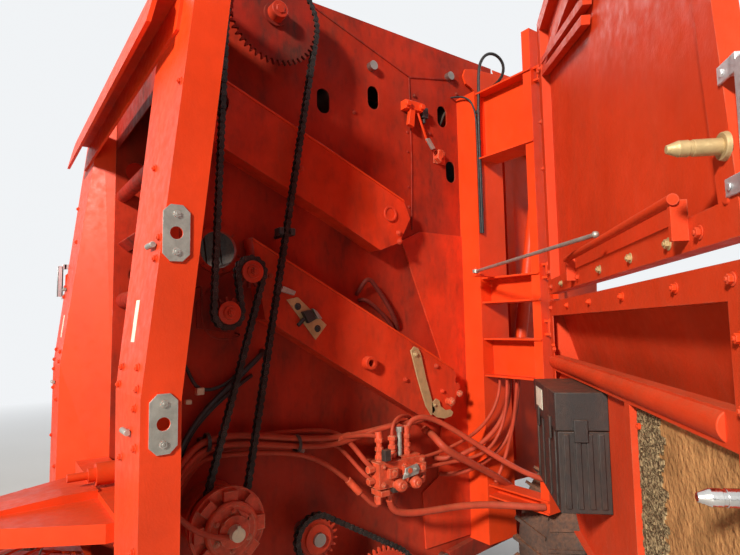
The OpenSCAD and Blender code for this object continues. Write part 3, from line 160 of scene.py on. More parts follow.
def new_group(name, inputs, outputs):
    group = bpy.data.node_groups.new(name, "ShaderNodeTree")
    for label, value in inputs:
        socket = group.interface.new_socket(label, in_out="INPUT", socket_type="NodeSocketFloat")
        socket.default_value = value
    for label in outputs:
        group.interface.new_socket(label, in_out="OUTPUT", socket_type="NodeSocketFloat")
    return group, add(group, "NodeGroupInput"), add(group, "NodeGroupOutput")


def make_field_dust():
    """Chaff and dust: thick on level ledges and low down, thin and streaked on upright sheet."""
    tree, ins, outs = new_group("field_dust", [("Amount", 0.4), ("Grain", 60.0)], ["Mask", "Height"])
    place = object_place(tree)
    level = ramp_between(tree, parts_of(tree, surface_normal(tree))[2], 0.25, 0.95)
    low = ramp_between(tree, parts_of(tree, place)[2], 1.3, -0.6, 0.0, 0.45)
    patches = noise(tree, stretched(tree, place, (1.0, 1.0, 0.22)), 7.0, 6.0, 0.65)
    fine = noise(tree, place, ins.outputs["Grain"], 3.0, 0.5)
    base = maths(tree, "ADD", maths(tree, "MULTIPLY", level, 0.85), low)
    base = maths(tree, "ADD", base, ramp_between(tree, patches, 0.42, 0.75, 0.0, 0.5))
    speckled = maths(tree, "MULTIPLY", base, ramp_between(tree, fine, 0.3, 0.62, 0.45, 1.0))
    mask = maths(tree, "MULTIPLY", speckled, ins.outputs["Amount"], clamp=True)
    put(tree, outs.inputs["Mask"], mask)
    put(tree, outs.inputs["Height"], maths(tree, "MULTIPLY", mask, fine))
    return tree


def make_edge_rub():
    """Rubbed edges: where a rounded normal turns away from the true one, broken up by noise."""
    tree, ins, outs = new_group("edge_rub", [("Width", 0.004), ("Amount", 1.0)], ["Mask"])
    round_off = add(tree, "ShaderNodeBevel", samples=4)
    put(tree, round_off.inputs["Radius"], ins.outputs["Width"])
    same = add(tree, "ShaderNodeVectorMath", operation="DOT_PRODUCT")
    put(tree, same.inputs[0], round_off.outputs[0])
    put(tree, same.inputs[1], surface_normal(tree))
    edge = ramp_between(tree, same.outputs["Value"], 0.99, 0.86)
    broken = ramp_between(tree, noise(tree, object_place(tree), 22.0), 0.42, 0.62)
    worn = maths(tree, "MULTIPLY", edge, broken)
    put(tree, outs.inputs["Mask"], maths(tree, "MULTIPLY", worn, ins.outputs["Amount"], clamp=True))
    return tree


def make_oil_film():
    """Dark oily dirt that runs down from the drives: broad blots drawn out downwards."""
    tree, ins, outs = new_group("oil_film", [("Amount", 0.5)], ["Mask"])
    drawn = stretched(tree, object_place(tree), (1.0, 1.0, 0.45))
    blots = ramp_between(tree, noise(tree, drawn, 3.2, 7.0, 0.62), 0.46, 0.68)
    spots = ramp_between(tree, noise(tree, drawn, 26.0, 4.0, 0.6), 0.5, 0.72, 0.0, 0.5)
    dirt = maths(tree, "ADD", blots, spots)
    put(tree, outs.inputs["Mask"], maths(tree, "MULTIPLY", dirt, ins.outputs["Amount"], clamp=True))
    return tree


DUST, RUB, OIL = make_field_dust(), make_edge_rub(), make_oil_film()
STRAW_DUST = (0.30, 0.125, 0.060, 1)
# Colour of oily dirt. worn_surface also uses it for the painted shade that grows towards the front.
OIL_FILM_AND_SHADE = (0.030, 0.016, 0.013, 1)


def mask_of(tree, group, amount):
    node = add(tree, "ShaderNodeGroup", node_tree=group)
    node.inputs["Amount"].default_value = amount
    return node.outputs


def new_material(name):
    material = bpy.data.materials.new(name)
    material.use_nodes = True
    tree = material.node_tree
    return material, tree, tree.nodes["Principled BSDF"]


def worn_surface(name, colour, worn, rough, metal=0.0, dust=0.4, rub=0.7, mottle=3.0, tint=0.2,
                 peel=180.0, bump=0.04, shine=0.3, oil=0.0, painted_shade_span=None):
    """Paint, plating or plastic: faded in patches, rubbed at the edges, oily and dusted.

    The last argument gives two places along the machine between which painted shade grows forwards: the sheet darkens
    towards the front in the oil film's colour, standing for the shadow that the front post casts on it.
    """
    material, tree, shader = new_material(name)
    place = object_place(tree)
    deep = tuple(c * (1 - tint) for c in colour) + (1,)
    pale = tuple(min(1.0, c * (1 + tint) + 0.02 * tint) for c in colour) + (1,)
    faded = blend_colour(tree, ramp_between(tree, noise(tree, place, mottle, 6.0, 0.6), 0.3, 0.7), deep, pale)
    paint = blend_colour(tree, mask_of(tree, RUB, rub)["Mask"], faded, worn + (1,))
    if oil:
        paint = blend_colour(tree, mask_of(tree, OIL, oil)["Mask"], paint, OIL_FILM_AND_SHADE)
    # Painted shade: a dark film that grows towards the front of the machine, standing for the front post's cast
    # shadow, not for grease.
    if painted_shade_span:
        ragged = maths(tree, "ADD", parts_of(tree, place)["X"],
                       maths(tree, "MULTIPLY", noise(tree, place, 4.0, 5.0), 0.35))
        paint = blend_colour(tree, ramp_between(tree, ragged, *painted_shade_span, 0.0, 0.92), paint, OIL_FILM_AND_SHADE)
    chaff = mask_of(tree, DUST, dust)
    put(tree, shader.inputs["Base Color"], blend_colour(tree, chaff["Mask"], paint, STRAW_DUST))
    scuffs = ramp_between(tree, noise(tree, place, mottle * 9, 5.0), 0.3, 0.75, rough * 0.8, min(1.0, rough * 1.3))
    put(tree, shader.inputs["Roughness"],
        maths(tree, "MAXIMUM", scuffs, maths(tree, "MULTIPLY", chaff["Mask"], 0.9)))
    shader.inputs["Metallic"].default_value = metal
    shader.inputs["Specular IOR Level"].default_value = shine
    grain = maths(tree, "ADD", noise(tree, place, peel, 2.0), maths(tree, "MULTIPLY", chaff["Height"], 3.0))
    relief(tree, shader, grain, bump * 0.01)
    return material


# The second red is the same paint darkened as painted shade, for parts that lie in shade.
RED, SHADE_RED = (0.72, 0.046, 0.005), (0.30, 0.014, 0.006)
BARE = (0.34, 0.13, 0.08)
UNDER_HOSE = (0.10, 0.05, 0.04)
red_paint = worn_surface("red_paint", RED, BARE, 0.42, dust=0.11, rub=0.45, tint=0.14, oil=0.12, shine=0.22)
channel_red = worn_surface(
    "channel_red_paint", (0.62, 0.034, 0.006), BARE, 0.48, dust=0.25, tint=0.24, oil=0.45, shine=0.2)
# Red in painted shade, darker still towards the front where the front post's painted shadow falls; its oil blots are
# dirt.
shaded_red = worn_surface(
    "shaded_red_paint", SHADE_RED, BARE, 0.55, dust=0.2, tint=0.32, shine=0.12, oil=0.8, painted_shade_span=(-1.1, -0.45))
# Side plates: the red paint darkened as painted shade. Their oil blots are dirt, and towards the front they also
# carry the front post's painted shadow.
plate_red_with_painted_shade = worn_surface(
    "side_plate_red_paint", (0.40, 0.022, 0.006), BARE, 0.5, dust=0.2, tint=0.26, shine=0.12, oil=0.6,
    painted_shade_span=(-1.15, -0.55))
dusty_red = worn_surface(
    "dusty_red_paint", (0.60, 0.042, 0.008), BARE, 0.55, dust=0.3, tint=0.14, shine=0.16, oil=0.04)
fitting_red = worn_surface(
    "painted_fitting", (0.62, 0.060, 0.018), (0.55, 0.42, 0.26), 0.45, dust=0.4, rub=1.0, mottle=40.0,
    tint=0.3, oil=0.3)
zinc = worn_surface(
    "dull_zinc", (0.40, 0.41, 0.36), (0.75, 0.74, 0.70), 0.46, metal=0.6, dust=0.3, mottle=30.0, oil=0.25)
khaki_zinc = worn_surface(
    "khaki_zinc", (0.50, 0.36, 0.17), (0.66, 0.56, 0.36), 0.5, metal=0.35, dust=0.3, mottle=30.0, oil=0.2)
worn_steel = worn_surface(
    "worn_steel", (0.30, 0.26, 0.23), (0.55, 0.52, 0.5), 0.4, metal=0.9, dust=0.3, mottle=12.0)
chrome_pin = worn_surface(
    "bright_pin", (0.72, 0.70, 0.66), (0.8, 0.8, 0.8), 0.2, metal=1.0, dust=0.12, mottle=20.0)
aluminium = worn_surface(
    "cast_aluminium", (0.66, 0.67, 0.68), (0.8, 0.8, 0.8), 0.4, metal=0.7, dust=0.12, mottle=14.0)
black_chain = worn_surface(
    "oily_chain", (0.016, 0.014, 0.013), (0.13, 0.11, 0.10), 0.42, metal=0.5, dust=0.12, mottle=40.0)
belt_rubber = worn_surface(
    "belt_rubber", (0.030, 0.028, 0.026), (0.08, 0.07, 0.06), 0.75, dust=0.5, mottle=10.0, peel=90.0, bump=0.3)
hose_red = worn_surface(
    "red_dusted_hose", (0.42, 0.038, 0.014), UNDER_HOSE, 0.55, dust=0.3, mottle=12.0, shine=0.2, oil=0.3)
hose_dark = worn_surface(
    "dull_red_hose", (0.15, 0.014, 0.009), UNDER_HOSE, 0.55, dust=0.25, mottle=12.0, shine=0.2, oil=0.4)
hose_black = worn_surface(
    "black_hose", (0.014, 0.014, 0.015), (0.07, 0.07, 0.07), 0.5, dust=0.15, mottle=12.0)
tyre_rubber = worn_surface(
    "tyre_rubber", (0.028, 0.027, 0.026), (0.07, 0.06, 0.05), 0.8, dust=0.55, mottle=9.0, peel=120.0, bump=0.25)
rim_silver = worn_surface("rim_silver", (0.55, 0.55, 0.53), BARE, 0.4, metal=0.3, dust=0.35)
black_plastic = worn_surface(
    "black_plastic", (0.018, 0.018, 0.018), (0.09, 0.09, 0.08), 0.5, dust=0.25, peel=420.0, bump=0.12)
tan_panel = worn_surface(
    "dusty_tan_panel", (0.42, 0.21, 0.075), (0.3, 0.15, 0.07), 0.85, dust=0.35, mottle=14.0, tint=0.4,
    peel=60.0, bump=0.5, shine=0.1)
cream_plastic = worn_surface(
    "cream_plug", (0.66, 0.58, 0.40), (0.8, 0.75, 0.6), 0.5, dust=0.1, mottle=30.0)
pale_label = worn_surface(
    "pale_blank_label", (0.70, 0.66, 0.52), (0.4, 0.38, 0.34), 0.6, dust=0.12, rub=0.2, mottle=30.0)


def straw_mat():
    """Chaff and short straw caked on a panel: pale stalks laid every way over grey-brown dust."""
    material, tree, shader = new_material("matted_straw")
    place = object_place(tree)
    layers = []
    for turn, scale in ((0.5, 90.0), (-0.7, 130.0), (1.4, 110.0)):
        lay = stretched(tree, place, (1.0, 0.12, 1.0), (turn, turn * 0.6, turn))
        layers.append(ramp_between(tree, noise(tree, lay, scale, 2.0), 0.48, 0.62))
    stalks = maths(tree, "MAXIMUM", maths(tree, "MAXIMUM", layers[0], layers[1]), layers[2])
    straw = blend_colour(tree, stalks, (0.11, 0.070, 0.036, 1), (0.38, 0.28, 0.15, 1))
    put(tree, shader.inputs["Base Color"], straw)
    shader.inputs["Roughness"].default_value = 0.95
    shader.inputs["Specular IOR Level"].default_value = 0.1
    relief(tree, shader, stalks, 0.006)
    return material


matted_straw = straw_mat()

NODES_OF_FINISH = (
    (plate_red_with_painted_shade, "side_plate_left side_plate_right"),
    (shaded_red, "cross_tubes net_box axle top_cover small_sprockets top_sprocket lower_drive"),
    (channel_red, "side_channels"),
    (dusty_red, "upper_door_left upper_door_right lower_door_left lower_door_right"),
    (fitting_red, "drive_hub valve_block"),
    (worn_steel, "chamber_rollers feed_rotor pickup_reel"),
    (belt_rubber, "belts tailgate_belts"),
    (black_chain, "main_chain"),
    (hose_red, "hoses"),
    (zinc, "jack_leg door_stay"),
    (chrome_pin, "rod_left rod_right"),
    (black_plastic, "toolbox"),
    (tyre_rubber, "tyre_left tyre_right gauge_wheel_left gauge_wheel_right"),
    (rim_silver, "rim_left rim_right"),
)
FINISH_OF_NODE = {node: surface for surface, nodes in NODES_OF_FINISH for node in nodes.split()}
for node_name, node_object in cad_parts.items():
    node_object.data.materials.clear()
    node_object.data.materials.append(FINISH_OF_NODE.get(node_name, red_paint))


# Mesh helpers: each adds one closed shape to a bmesh

def block(bm, low, high):
    low, high = at(*low), at(*high)
    size = Matrix.Diagonal((*map(abs, high - low), 1))
    bmesh.ops.create_cube(bm, size=1, matrix=Matrix.Translation((low + high) / 2) @ size)


def rod(bm, start, end, r, r_end=None, sides=24):
    a, b = at(*start), at(*end)
    turn = (b - a).to_track_quat("Z", "Y").to_matrix().to_4x4()
    bmesh.ops.create_cone(
        bm, cap_ends=True, segments=sides, radius1=r * MM, radius2=(r if r_end is None else r_end) * MM,
        depth=(b - a).length, matrix=Matrix.Translation((a + b) / 2) @ turn)


def thicken(bm, faces, along, thick):
    """Pushes flat faces out along a direction, which makes a solid plate of them."""
    grown = bmesh.ops.extrude_face_region(bm, geom=faces)["geom"]
    verts = [g for g in grown if isinstance(g, bmesh.types.BMVert)]
    bmesh.ops.translate(bm, verts=verts, vec=Vector(along).normalized() * thick * MM)


def slab(bm, corners, along, thick):
    """A flat plate from its corners."""
    thicken(bm, [bm.faces.new([bm.verts.new(at(*c)) for c in corners])], along, thick)


def side_slab(bm, y, outline, thick):
    """A flat plate that lies like the side plate, from its corners' X and Z."""
    slab(bm, [(x, y, z) for x, z in outline], LEFT, thick)


def pierced(bm, corners, holes, along, thick, sides=32):
    """A flat plate with round holes, each given as its centre and radius."""
    along = Vector(along).normalized()
    across = along.orthogonal().normalized()
    other = along.cross(across)
    turns = [math.tau * k / sides for k in range(sides)]
    loops = [[at(*c) for c in corners]]
    for centre, r in holes:
        loops.append([at(*centre) + (across * math.cos(t) + other * math.sin(t)) * r * MM for t in turns])
    edges = []
    for loop in loops:
        verts = [bm.verts.new(spot) for spot in loop]
        edges += [bm.edges.new((verts[i - 1], verts[i])) for i in range(len(verts))]
    filled = bmesh.ops.triangle_fill(bm, use_beauty=True, edges=edges, normal=along)["geom"]
    thicken(bm, [g for g in filled if isinstance(g, bmesh.types.BMFace)], along, thick)


def turned(bm, profile, centre, axis=LEFT, steps=48):
    """A ring turned about an axis from a closed profile of (distance along the axis, radius)."""
    axis = Vector(axis).normalized()
    side = axis.orthogonal().normalized()
    verts = [bm.verts.new(at(*centre) + (axis * a + side * r) * MM) for a, r in profile]
    edges = [bm.edges.new((verts[i], verts[(i + 1) % len(verts)])) for i in range(len(verts))]
    bmesh.ops.spin(
        bm, geom=verts + edges, cent=at(*centre), axis=axis, angle=math.tau, steps=steps, use_merge=True)


def bolt(bm, where, axis=LEFT, size=19, head=8, washer=True):
    """A washer and a hexagon head, standing on the point where, out along the axis."""
    where, axis = Vector(where), Vector(axis).normalized()
    foot = where
    if washer:
        rod(bm, where, where + axis * 2.2, size * 0.78, sides=20)
        foot = where + axis * 2.0
    rod(bm, foot, foot + axis * head, size * 0.577, sides=6)
    rod(bm, foot + axis * (head - 0.5), foot + axis * (head + 3), size * 0.27, sides=10)


def side_bolts(bm, y, places, **shape):
    for x, z in places:
        bolt(bm, (x, y, z), **shape)


def ring_of(count, r, middle, first=0.0):
    """Places of X and Z spread round a circle."""
    turns = [math.tau * (k + first) / count for k in range(count)]
    return [(middle[0] + r * math.cos(a), middle[1] + r * math.sin(a)) for a in turns]


def show(name, mesh, material, body):
    """Puts a mesh in the scene as a piece that rides on a body."""
    mesh.materials.clear()
    mesh.materials.append(material)
    piece = bpy.data.objects.new(name, mesh)
    bpy.context.scene.collection.objects.link(piece)
    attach(piece, body)
    return piece


def finish(name, bm, material, body, bevel=0.0):
    bmesh.ops.recalc_face_normals(bm, faces=bm.faces)
    mesh = bpy.data.meshes.new(name)
    bm.to_mesh(mesh)
    bm.free()
    mesh.shade_smooth()
    mesh.set_sharp_from_angle(angle=math.radians(34))
    piece = show(name, mesh, material, body)
    if bevel:
        edge = piece.modifiers.new("edge", "BEVEL")
        edge.width = bevel * MM
        edge.segments = 2
        edge.limit_method = "ANGLE"
        edge.angle_limit = math.radians(40)
    return piece


def hose_line(name, routes, material):
    """Smooth hoses on the frame: each route is a radius and the points that guide the hose."""
    data = bpy.data.curves.new(name, "CURVE")
    data.dimensions = "3D"
    data.bevel_depth = MM
    data.bevel_resolution = 4
    data.resolution_u = 6
    data.use_fill_caps = True
    for radius, points in routes:
        line = data.splines.new("NURBS")
        line.points.add(len(points) - 1)
        for spot, point in zip(line.points, points):
            spot.co = (*at(*point), 1)
            spot.radius = radius
        line.order_u = 4
        line.use_endpoint_u = True
    shaper = bpy.data.objects.new(name + "_line", data)
    bpy.context.scene.collection.objects.link(shaper)
    bpy.context.view_layer.update()
    mesh = bpy.data.meshes.new_from_object(shaper.evaluated_get(bpy.context.evaluated_depsgraph_get()))
    bpy.data.objects.remove(shaper)
    mesh.name = name
    mesh.shade_smooth()
    return show(name, mesh, material, "frame")


# Planes that the left side's details lie on, and middles of wheels as X and Z

SIDE, CHANNEL, POST, CHAIN_Y = 611.0, 699.0, 1085.0, 750.0
TOP_WHEEL, HIGH_WHEEL, LOW_WHEEL, CLUTCH = (-554, 2741), (-458, 1706), (-370, 1553), (-352, 826)
FLOOR_DRIVE, FLOOR_WHEEL = (-730, 684), (-1046, 400)
TYRE_MIDDLE = (-2180, 430)
TYRE_Y = 1030

# Drive chains: each loop lists its wheels' middles, radii and the side on which the chain passes

CHAIN_PITCH = 25.4


def pitch_radius(teeth):
    return CHAIN_PITCH / (2 * math.sin(math.pi / teeth))


MAIN_LOOP = [
    (*TOP_WHEEL, pitch_radius(48), 1), (*LOW_WHEEL, pitch_radius(13), 1),
    (*HIGH_WHEEL, pitch_radius(13), -1), (*CLUTCH, pitch_radius(19), 1),
]
LOWER_LOOP = [(*FLOOR_DRIVE, pitch_radius(21), 1), (*FLOOR_WHEEL, pitch_radius(43), 1)]


def loop_points(wheels, step=3.0):
    """The chain's middle line as points of X and Z: arcs on the wheels, joined by common tangents."""
    def leave(a, b):
        d = Vector((b[0] - a[0], b[1] - a[1]))
        return math.atan2(d.y, d.x) + math.acos((a[3] * a[2] - b[3] * b[2]) / d.length)

    line = []
    for i, wheel in enumerate(wheels):
        begin = leave(wheels[i - 1], wheel)
        end = leave(wheel, wheels[(i + 1) % len(wheels)])
        sweep = -((begin - end) % math.tau) if wheel[3] > 0 else (end - begin) % math.tau
        flip = 0 if wheel[3] > 0 else math.pi
        steps = max(2, int(abs(sweep) * wheel[2] / step))
        for k in range(steps + 1):
            a = begin + flip + sweep * k / steps
            line.append(Vector((wheel[0] + wheel[2] * math.cos(a), wheel[1] + wheel[2] * math.sin(a))))
    return line


def chain_stations(wheels):
    """Pin places along the loop, spread so that a whole even number of links closes it."""
    line = loop_points(wheels)
    lengths = [(line[(i + 1) % len(line)] - line[i]).length for i in range(len(line))]
    whole = sum(lengths)
    count = 2 * round(whole / CHAIN_PITCH / 2)
    stations, i, passed = [], 0, 0.0
    for k in range(count):
        goal = k * (whole / count)
        while passed + lengths[i] < goal:
            passed += lengths[i]
            i += 1
        share = (goal - passed) / lengths[i] if lengths[i] else 0
        stations.append(line[i].lerp(line[(i + 1) % len(line)], share))
    return stations


def link_plate(bm, a, b, y, thick=3, waist=7.5, end=11.5):
    """A waisted side plate between two pins."""
    run = (b - a).normalized()
    side = Vector((-run.y, run.x))
    middle = (a + b) / 2
    swing = [(run * math.cos(t) + side * math.sin(t)) * end for t in map(math.radians, (-90, -45, 0, 45, 90))]
    outline = [middle - side * waist] + [b + s for s in swing] + [middle + side * waist] + [a - s for s in swing]
    side_slab(bm, y, outline, thick)


def chain(name, wheels, replaced):
    bm = bmesh.new()
    pins = chain_stations(wheels)
    for k, pin in enumerate(pins):
        rod(bm, (pin.x, CHAIN_Y - 16.5, pin.y), (pin.x, CHAIN_Y + 16.5, pin.y), 4.0, sides=8)
        rod(bm, (pin.x, CHAIN_Y - 8, pin.y), (pin.x, CHAIN_Y + 8, pin.y), 7.9, sides=10)
        near, far = (8.2, 11.2) if k % 2 == 0 else (11.5, 14.5)
        for out in (-far, near):
            link_plate(bm, pin, pins[(k + 1) % len(pins)], CHAIN_Y + out)
    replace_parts(finish(name, bm, black_chain, "frame"), replaced)


chain("main_chain_links", MAIN_LOOP, "main_chain")
chain("lower_chain_links", LOWER_LOOP, "lower_drive")


def toothed_wheel(bm, middle, teeth, boss, bore):
    """A sprocket with its boss: a turned disc with one small block for each tooth."""
    x, z = middle
    root, tip = pitch_radius(teeth) - 14, pitch_radius(teeth) + 5.5
    turned(bm, [(-19.5, bore), (-19.5, boss), (-7.5, boss), (-7.5, root), (7.5, root), (7.5, boss),
                (19.5, boss), (19.5, bore)], (x, CHAIN_Y, z), steps=64)
    for k in range(teeth):
        corners = []
        for reach, share in ((root - 2, -0.34), (tip, -0.1), (tip, 0.1), (root - 2, 0.34)):
            turn = math.tau / teeth * (k + share)
            corners.append((x + reach * math.cos(turn), z + reach * math.sin(turn)))
        side_slab(bm, CHAIN_Y - 7, corners, 14)


def lower_sprockets():
    bm = bmesh.new()
    toothed_wheel(bm, FLOOR_DRIVE, 21, 55, 25.5)
    toothed_wheel(bm, FLOOR_WHEEL, 43, 60, 28.5)
    side_bolts(bm, CHAIN_Y + 7, ring_of(5, 95, FLOOR_WHEEL), size=17, head=7)
    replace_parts(finish("lower_sprockets", bm, channel_red, "frame", bevel=0.8), "lower_drive")


lower_sprockets()


def chain_guide():
    """Black block that the rear run of the chain slides through, on its pin."""
    x, z = -600, 1869
    bm = bmesh.new()
    block(bm, (x - 34, CHAIN_Y - 20, z - 14), (x - 15, CHAIN_Y + 24, z + 14))
    block(bm, (x + 15, CHAIN_Y - 20, z - 14), (x + 34, CHAIN_Y + 24, z + 14))
    block(bm, (x - 34, CHAIN_Y - 24, z - 14), (x + 34, CHAIN_Y - 18.5, z + 14))
    rod(bm, (x - 26, SIDE, z), (x - 26, CHAIN_Y - 19, z), 8)
    finish("chain_guide_block", bm, black_plastic, "frame", bevel=2)


chain_guide()

# Tyres


def treaded_tyre(side, name):
    x, z = TYRE_MIDDLE
    y = side * TYRE_Y
    crown_r, lug_foot_r = 415.0, 397
    bm = bmesh.new()
    wall = [(-160, 223), (-172, 252), (-196, 300), (-200, 345), (-190, 385), (-168, 405), (-120, 412)]
    turned(bm, wall + [(0, crown_r)] + [(-a, r) for a, r in reversed(wall)], (x, y, z), steps=72)
    lugs = 30
    for k in range(lugs):
        for hand in (-1, 1):
            turn = math.tau * (k + (hand > 0) / 2) / lugs
            ring = []
            for along, slant, step in ((10, 0, -1), (10, 0, 1), (190, 13, 1), (190, 13, -1)):
                a = turn + math.radians(slant * 0.55) + step * 7.5 / crown_r
                ring.append((x + lug_foot_r * math.cos(a), y + hand * along, z + lug_foot_r * math.sin(a)))
            slab(bm, ring, (math.cos(turn), 0, math.sin(turn)), 31.5)
    piece = finish("tyre_tread_" + name, bm, tyre_rubber, "wheel_" + name)
    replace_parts(piece, "tyre_" + name)


on_both_sides(treaded_tyre)


def wheel_nuts(side, name):
    x, z = TYRE_MIDDLE
    bm = bmesh.new()
    side_bolts(bm, side * (TYRE_Y + 41), ring_of(6, 110, TYRE_MIDDLE), axis=(0, side, 0), size=24, head=14)
    rod(bm, (x, side * 1121, z), (x, side * 1150, z), 60, 48, sides=32)
    finish("wheel_nuts_" + name, bm, zinc, "wheel_" + name, bevel=1)


on_both_sides(wheel_nuts)

# Front posts: latch plates, bolts, spring handles and blank labels

UPPER_LATCH, LOWER_LATCH = (-88, 1772), (-60, 1240)
KINK_Z = 1310
LEAN = math.tan(math.radians(6.4))


def octagon(x, z, w, h, y):
    c = w * 0.55
    return [(x - w, y, z - h + c), (x - w + c, y, z - h), (x + w - c, y, z - h), (x + w, y, z - h + c),
            (x + w, y, z + h - c), (x + w - c, y, z + h), (x - w + c, y, z + h), (x - w, y, z + h - c)]


def latch_plates(side, name):
    bm = bmesh.new()
    y = side * (POST + 5.1)
    for x, z in (UPPER_LATCH, LOWER_LATCH):
        pierced(bm, octagon(x, z, 38.6, 82, y), [((x, y, z), 18.4)], (0, side, 0), 1.1)
        for dz in (-54.5, 54.5):
            rod(bm, (x, y, z + dz), (x, y + side * 6.2, z + dz), 10.8, sides=6)
            rod(bm, (x, y + side * 6, z + dz), (x, y + side * 7.6, z + dz), 5, 4, sides=12)
    finish("latch_plates_" + name, bm, zinc, "frame", bevel=0.5)


on_both_sides(latch_plates)


def post_front(z):
    """How far forward the post's front face is at a height."""
    return -max(0.0, z - KINK_Z) * LEAN


def post_fittings(side, name):
    """Bolts, two spring handles and a blank label on the post's front face."""
    bm = bmesh.new()
    for y, z in ((813, 1384), (1015, 1392), (800, 1330), (1040, 1334), (1025, 1280), (1034, 1173), (1040, 900),
                 (1046, 1700), (1060, 1760), (880, 2010), (1052, 2240), (840, 2480), (860, 1120), (850, 760)):
        bolt(bm, (post_front(z) + 0.3, side * y, z), (1, 0, 0), size=17, head=7)
    finish("post_bolts_" + name, bm, red_paint, "frame", bevel=0.8)
    bm = bmesh.new()
    for y, z in ((1010, 1742), (960, 1210)):
        x = post_front(z)
        rod(bm, (x, side * y, z), (x + 17, side * y, z), 7)
        rod(bm, (x + 12, side * (y - 34), z), (x + 12, side * (y + 30), z), 9)
    finish("spring_handles_" + name, bm, zinc, "frame", bevel=1)
    bm = bmesh.new()
    corners = [(post_front(z) + 0.3, side * y, z) for y, z in ((880, 1462), (922, 1462), (922, 1588), (880, 1588))]
    slab(bm, corners, (1, 0, 0), 1.2)
    finish("blank_label_" + name, bm, pale_label, "frame")


on_both_sides(post_fittings)

# Drive details on the left side


def sprocket_details():
    x, z = TOP_WHEEL
    bm = bmesh.new()
    rod(bm, (x, 765, z), (x, 812, z), 36, 34, sides=40)
    rod(bm, (x, 811, z), (x, 816, z), 21, 19, sides=6)
    finish("top_sprocket_boss", bm, channel_red, "frame", bevel=2)
    bm = bmesh.new()
    for x, z in (HIGH_WHEEL, LOW_WHEEL):
        turned(bm, [(0, 12), (0, 42), (5, 42), (8, 34), (8, 26), (16, 24), (16, 12)], (x, 767, z), steps=36)
        rod(bm, (x, 778, z), (x, 792, z), 16, 14, sides=6)
        rod(bm, (x, 790, z), (x, 797, z), 9, 8)
    finish("small_sprocket_caps", bm, channel_red, "frame", bevel=1)
    hose_line("chain_guard_rim", [
        (3.5, [(-292, 690, 1650), (-290, 700, 1600), (-288, 704, 1540), (-300, 706, 1490), (-335, 706, 1462),
               (-372, 706, 1456), (-412, 706, 1460), (-440, 700, 1470), (-452, 650, 1476), (-454, SIDE, 1478)]),
        (3.5, [(-292, 690, 1650), (-294, 660, 1652), (-294, SIDE, 1653)])], shaded_red)


sprocket_details()


def slip_clutch():
    """Thin rim round the castellated hub, the face with its bolts and the shaft's end."""
    (x, z), y = CLUTCH, CHAIN_Y
    face = y + 104
    bm = bmesh.new()
    turned(bm, [(44, 124), (44, 133), (64, 133), (64, 124)], (x, y, z), steps=72)
    turned(bm, [(86, 78), (86, 92), (98, 92), (104, 86), (104, 78)], (x, y, z), steps=56)
    side_bolts(bm, face, ring_of(6, 64, CLUTCH, 0.5), size=15, head=7)
    side_slab(bm, face, [(x - 14, z + 66), (x - 50, z + 46), (x - 62, z + 2), (x - 50, z + 2)], 9)
    rod(bm, (x + 20, y + 103, z + 20), (x + 42, y + 128, z + 34), 6)
    finish("slip_clutch_rings", bm, fitting_red, "frame", bevel=1.5)
    bm = bmesh.new()
    rod(bm, (x, y + 118, z), (x, y + 158, z), 25, 23, sides=32)
    block(bm, (x - 5, y + 140, z + 12), (x + 5, y + 160, z + 30))
    finish("hub_shaft_end", bm, cream_plastic, "frame", bevel=1.2)


slip_clutch()


def channel_details():
    bm = bmesh.new()
    turned(bm, [(0, 26), (0, 36), (3, 36), (3, 26)], (-1160, CHANNEL + 5, 2010), steps=32)
    turned(bm, [(0, 15), (0, 30), (34, 28), (34, 15)], (-1020, CHANNEL, 1337), steps=32)
    side_bolts(bm, CHANNEL, ((-1210, 1925), (-700, 2150), (-1215, 1885)), size=19)
    side_bolts(bm, CHANNEL, ((-560, 1700), (-1230, 1250), (-1455, 1180), (-1420, 1300), (-1560, 1160)), size=17)
    finish("channel_bosses", bm, channel_red, "frame", bevel=1)
    # Front end of the upper channel, open round the port behind it
    bm = bmesh.new()
    y = CHANNEL - 4
    port = (-312, y, 2362)
    pierced(bm, [(-236, y, 2241), (-256, y, 2499), (-600, y, 2356), (-600, y, 2077)], [(port, 82)], LEFT, 5, sides=48)
    turned(bm, [(0, 76), (0, 84), (9, 84), (9, 76)], port, steps=48)
    side_slab(bm, 628, [(-256, 2499), (-410, 2435), (-410, 2430), (-256, 2494)], CHANNEL - 629)
    finish("channel_front_end", bm, channel_red, "frame", bevel=1.2)
    # Folded lips along the channels' upper edges
    bm = bmesh.new()
    for line in (((-256, 2499), (-880, 2240), (-1243, 2084)),
                 ((-484, 1846), (-800, 1680), (-1330, 1395), (-1532, 1284))):
        for (xa, za), (xb, zb) in zip(line, line[1:]):
            side_slab(bm, CHANNEL - 3, [(xa, za), (xb, zb), (xb - 5, zb - 11), (xa - 5, za - 11)], 9)
    for x, z in ((-620, 2343), (-790, 2272)):
        side_slab(bm, 640, [(x, z + 1), (x - 90, z - 36), (x - 90, z - 33), (x, z + 4)], 36)
    finish("channel_lips", bm, red_paint, "frame", bevel=1.5)


channel_details()


